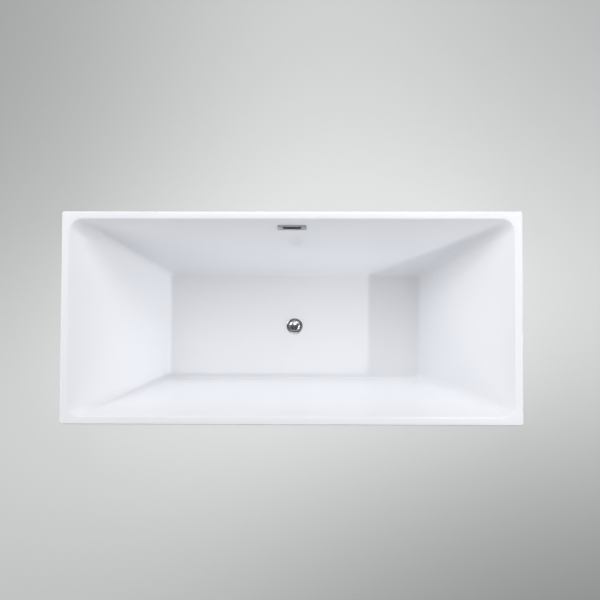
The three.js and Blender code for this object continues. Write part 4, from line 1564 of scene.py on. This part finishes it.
class TUB_OT_pipes(bpy.types.Operator):
    """Builds the overflow's pipes, elbow and grip nuts."""

    bl_idname = "tub.pipes"
    bl_label = "Pipes"

    def execute(self, context):
        self.pipe = finishes()["pipe"]
        low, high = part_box("overflow_drop_pipe")
        bore, outside = PIPE_INSIDE, PIPE_OUTSIDE
        drop = ring_of("drop_pipe", bore, outside, low.z, high.z, 0.0006, (0, PIPE_Y))
        self.finish(drop, "overflow_drop_pipe")
        low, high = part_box("overflow_run_pipe")
        run = [(bore, low.y), (outside, low.y), (outside, high.y), (bore, high.y)]
        self.finish(lying("run_pipe", run), "overflow_run_pipe")
        self.finish(self.elbow(), "overflow_elbow")
        nut = grip_nut("top_nut", *PIPE_NUT, 0.4617, 0.455, 0.475, 8)
        settle(nut, Matrix.Translation((0, PIPE_Y, 0)))
        self.finish(nut, "overflow_nut_top")
        nut = grip_nut("low_nut", *PIPE_NUT, -0.0003, -0.007, 0.013, 8)
        turn = Matrix.Rotation(QUARTER, 4, "X")
        settle(nut, Matrix.Translation((0, 0.054, RUN_Z)) @ turn)
        self.finish(nut, "overflow_nut_low")
        return {"FINISHED"}

    def finish(self, piece, node):
        fit_in(piece, "tub", self.pipe, [node])

    def elbow(self):
        """A bend with a socket and a thickened collar at each end, made as one skin."""
        bend, land, socket = 0.030, 0.008, 0.022
        outer, bore, fit = 0.016, SPIGOT_BORE, PIPE_SOCKET
        y, z = PIPE_Y, RUN_Z + bend
        top = z + land + socket
        elbow = start(
            "elbow_bend",
            bpy.ops.mesh.primitive_circle_add,
            vertices=48,
            radius=outer,
            location=(0, y, top),
            fill_type="NOTHING",
        )
        place = Vector((0, y, top))
        size = outer

        def push(step):
            nonlocal place
            bpy.ops.mesh.extrude_edges_move(TRANSFORM_OT_translate={"value": step})
            place = place + Vector(step)

        def resize(new):
            nonlocal size
            push((0, 0, 0))
            share = new / size
            bpy.ops.transform.resize(value=(share,) * 3, center_override=place)
            size = new

        def spin(angle, steps=10):
            nonlocal place
            centre = Vector((0, y - bend, z))
            bpy.ops.mesh.spin(steps=steps, angle=-angle, center=centre, axis=(1, 0, 0))
            place = centre + Matrix.Rotation(angle, 3, "X") @ (place - centre)

        push((0, 0, -socket))
        push((0, 0, -land))
        spin(-QUARTER)
        push((0, -land, 0))
        push((0, -socket, 0))
        resize(fit)
        push((0, socket, 0))
        resize(bore)
        push((0, land, 0))
        spin(QUARTER)
        push((0, 0, land))
        resize(fit)
        push((0, 0, socket))
        pick(elbow, "EDGE", lambda edge: edge.is_boundary)
        bpy.ops.mesh.bridge_edge_loops()
        close(elbow)
        inside, outside = 0.0145, 0.0175
        near, far = 0.0006, 0.008
        upper = ring_of("collar", inside, outside, top - far, top - near, 0.0008, (0, y), 48)
        profile = [(inside, near), (outside, near), (outside, far), (inside, far)]
        lower = lying("collar", profile, y - bend - land - socket)
        cut(elbow, upper, lower, operation="UNION")
        smooth(elbow)
        return elbow


# ---------------------------------------------------------------- stage


# name, azimuth, elevation, side, distance, share of the light that reaches the tub
SOFTBOXES = (
    ("back_left_box", 145, 42, 2.2, 6.5, 0.190),
    ("back_right_box", 65, 42, 1.2, 3.5, 0.180),
    ("back_low_box", 115, 28, 1.5, 4.5, 0.069),
    ("left_low_box", 180, 18, 4.0, 7.0, 0.135),
    ("front_left_box", -145, 28, 2.3, 7.0, 0.110),
    ("front_right_box", -35, 42, 1.3, 3.8, 0.066),
    ("right_box", 0, 42, 1.0, 3.0, 0.080),
    ("high_back_box", 90, 68, 1.7, 4.5, 0.050),
    ("top_box", 80, 83, 2.6, 8.0, 0.037),
)
# A box at this distance has just its share of the power.
BOX_DISTANCE = 4.5

# The suns: the key's azimuth and elevation, and both their widths in degrees.
SUN_WAY = (-18.8, 37.16)
SUN_WIDTH, WASH_WIDTH = 0.9, 4
SUN_DISTANCE = 5

CAMERA_PLACE = (0.2569, -0.6202, 8.6124)
CAMERA_AIM = (0.03212, 0.06495, 0.58)
CAMERA_ROLL = 0.239
CAMERA_LENS = 131.52


def facing(azimuth, elevation):
    """The way to a light: azimuth 0 is the tub's right end, 90 its back."""
    turn, tilt = math.radians(azimuth), math.radians(elevation)
    level = math.cos(tilt)
    return Vector((level * math.cos(turn), level * math.sin(turn), math.sin(tilt)))


def hang(name, kind, towards, distance, energy, lit):
    """A lamp that faces the tub's middle and shines on the pieces of one collection only."""
    data = bpy.data.lights.new(name, kind)
    data.energy = energy
    light = bpy.data.objects.new(name, data)
    bpy.context.scene.collection.objects.link(light)
    light.location = towards * distance
    aim = Vector((0, 0, 0.3)) if kind == "AREA" else Vector()
    light.rotation_euler = (light.location - aim).to_track_quat("Z", "Y").to_euler()
    light.light_linking.receiver_collection = lit
    return light


def softbox(name, azimuth, elevation, size, distance, energy, lit):
    light = hang(name, "AREA", facing(azimuth, elevation), distance, energy, lit)
    light.data.shape = "SQUARE"
    light.data.size = size
    return light


class TUB_OT_stage(bpy.types.Operator):
    """Sets the pale floor, the soft studio light and the camera above the tub."""

    bl_idname = "tub.stage"
    bl_label = "Stage"

    def execute(self, context):
        light = context.scene.tub_light
        context.scene.view_settings.view_transform = "Standard"
        pieces = bpy.data.collections.new("lit_tub")
        for piece in bpy.data.objects:
            if piece.type == "MESH":
                pieces.objects.link(piece)
        floor = self.ground(tuple(context.scene.tub_colours.ground))
        paving = bpy.data.collections.new("lit_floor")
        paving.objects.link(floor)
        self.sky(light.sky)
        key = hang("key", "SUN", facing(*SUN_WAY), SUN_DISTANCE, light.key, pieces)
        key.data.angle = math.radians(SUN_WIDTH)
        for name, azimuth, elevation, size, distance, share in SOFTBOXES:
            power = light.boxes * share * (distance / BOX_DISTANCE) ** 2
            softbox(name, azimuth, elevation, size, distance, power, pieces)
        bpy.data.objects["top_box"].visible_glossy = False
        camera = self.camera(context)
        above = camera.matrix_world.to_quaternion() @ Vector((0, 0, 1))
        wash = hang("floor_wash", "SUN", above, SUN_DISTANCE, light.floor, paving)
        wash.data.angle = math.radians(WASH_WIDTH)
        return {"FINISHED"}

    def ground(self, tint):
        """A floor whose colour carries a painted pool of light, with painted shade making it
        darker towards two of its corners.
        """
        floor = start(
            "studio_floor",
            bpy.ops.mesh.primitive_plane_add,
            size=40,
            location=(0, 0, -0.0005),
        )
        bpy.ops.object.mode_set(mode="OBJECT")
        finish = Finish("studio_floor", roughness=0.9, specular_ior_level=0.0)
        place = finish.place()
        spread = 1.2
        x, y = (
            finish.node("ShaderNodeSeparateXYZ", None, place, out=axis) * (1 / spread)
            for axis in (0, 1)
        )
        x, y = x.math("TANH", x), y.math("TANH", y)
        away = x * -0.066 + y * -0.103 - 0.064
        away = away + x * x * 0.425 + x * y * -0.473 + y * y * 0.766
        away = away + x * x * (x * -0.056 + y * 0.274) + y * y * (x * 0.467 + y * -0.360)
        # Painted light: a pool of light painted into the floor's base colour, brightest in a band
        # across the middle and fading to painted shade towards two corners.
        painted_pool = away.math("EXPONENT", away * -1.0)
        grain = finish.noise(60, 3)
        # Painted shade: the floor's colour where the painted pool of light fades out at the
        # corners.
        painted_shade = shade(tint, 0.068)
        finish.set(base_color=finish.mixed(painted_pool * (0.99 + grain * 0.02), painted_shade, tint))
        floor.data.materials.append(finish.material)
        floor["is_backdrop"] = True
        return floor

    def sky(self, strength):
        world = bpy.data.worlds.new("studio")
        bpy.context.scene.world = world
        world.use_nodes = True
        background = world.node_tree.nodes["Background"]
        background.inputs["Color"].default_value = (0.95, 0.97, 1.0, 1)
        background.inputs["Strength"].default_value = strength

    def camera(self, context):
        data = bpy.data.cameras.new("camera")
        data.lens = CAMERA_LENS
        data.sensor_width = 36
        data.clip_end = 60
        camera = bpy.data.objects.new("camera", data)
        context.scene.collection.objects.link(camera)
        place = Vector(CAMERA_PLACE)
        back = (place - Vector(CAMERA_AIM)).normalized()
        right = Vector((0, 1, 0)).cross(back).normalized()
        up = back.cross(right)
        turned_to = Matrix((right, up, back)).transposed().to_4x4()
        roll = Matrix.Rotation(math.radians(CAMERA_ROLL), 4, "Z")
        camera.matrix_world = Matrix.Translation(place) @ turned_to @ roll
        context.scene.camera = camera
        return camera


# ---------------------------------------------------------------- panel and running


class TUB_PT_panel(bpy.types.Panel):
    """Lists the sizes, the colours and the steps of the build."""

    bl_label = "Freestanding Bathtub"
    bl_idname = "TUB_PT_panel"
    bl_space_type = "VIEW_3D"
    bl_region_type = "UI"
    bl_category = "Bathtub"

    def draw(self, context):
        for key, kind in GROUPS.items():
            box = self.layout.box()
            for name in kind.__annotations__:
                box.prop(getattr(context.scene, key), name)
        for operator in STEPS:
            self.layout.operator(operator.bl_idname)


STEPS = (
    TUB_OT_basin,
    TUB_OT_skirt,
    TUB_OT_board,
    TUB_OT_frame,
    TUB_OT_brackets,
    TUB_OT_feet,
    TUB_OT_drain,
    TUB_OT_plug,
    TUB_OT_overflow,
    TUB_OT_pipes,
    TUB_OT_stage,
)
GROUPS = {
    "tub_basin": BasinShape,
    "tub_skirt": SkirtShape,
    "tub_frame": FrameShape,
    "tub_drain": DrainShape,
    "tub_overflow": OverflowShape,
    "tub_colours": FinishColours,
    "tub_light": StudioLight,
}


def register():
    for group in (*GROUPS.values(), *STEPS, TUB_PT_panel):
        bpy.utils.register_class(group)
    for name, group in GROUPS.items():
        setattr(bpy.types.Scene, name, PointerProperty(type=group))


def unregister():
    for name in GROUPS:
        delattr(bpy.types.Scene, name)
    for group in (TUB_PT_panel, *STEPS, *GROUPS.values()):
        bpy.utils.unregister_class(group)


def main():
    register()
    bpy.ops.tub.basin()
    bpy.ops.tub.skirt()
    bpy.ops.tub.board()
    bpy.ops.tub.frame()
    bpy.ops.tub.brackets()
    bpy.ops.tub.feet()
    bpy.ops.tub.drain()
    bpy.ops.tub.plug()
    bpy.ops.tub.overflow()
    bpy.ops.tub.pipes()
    bpy.ops.tub.stage()
    sizes = {"cad": CAD_BOX, "visual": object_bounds()}
    sizes = {key: [list(corner) for corner in value] for key, value in sizes.items()}


if __name__ == "__main__":
    main()
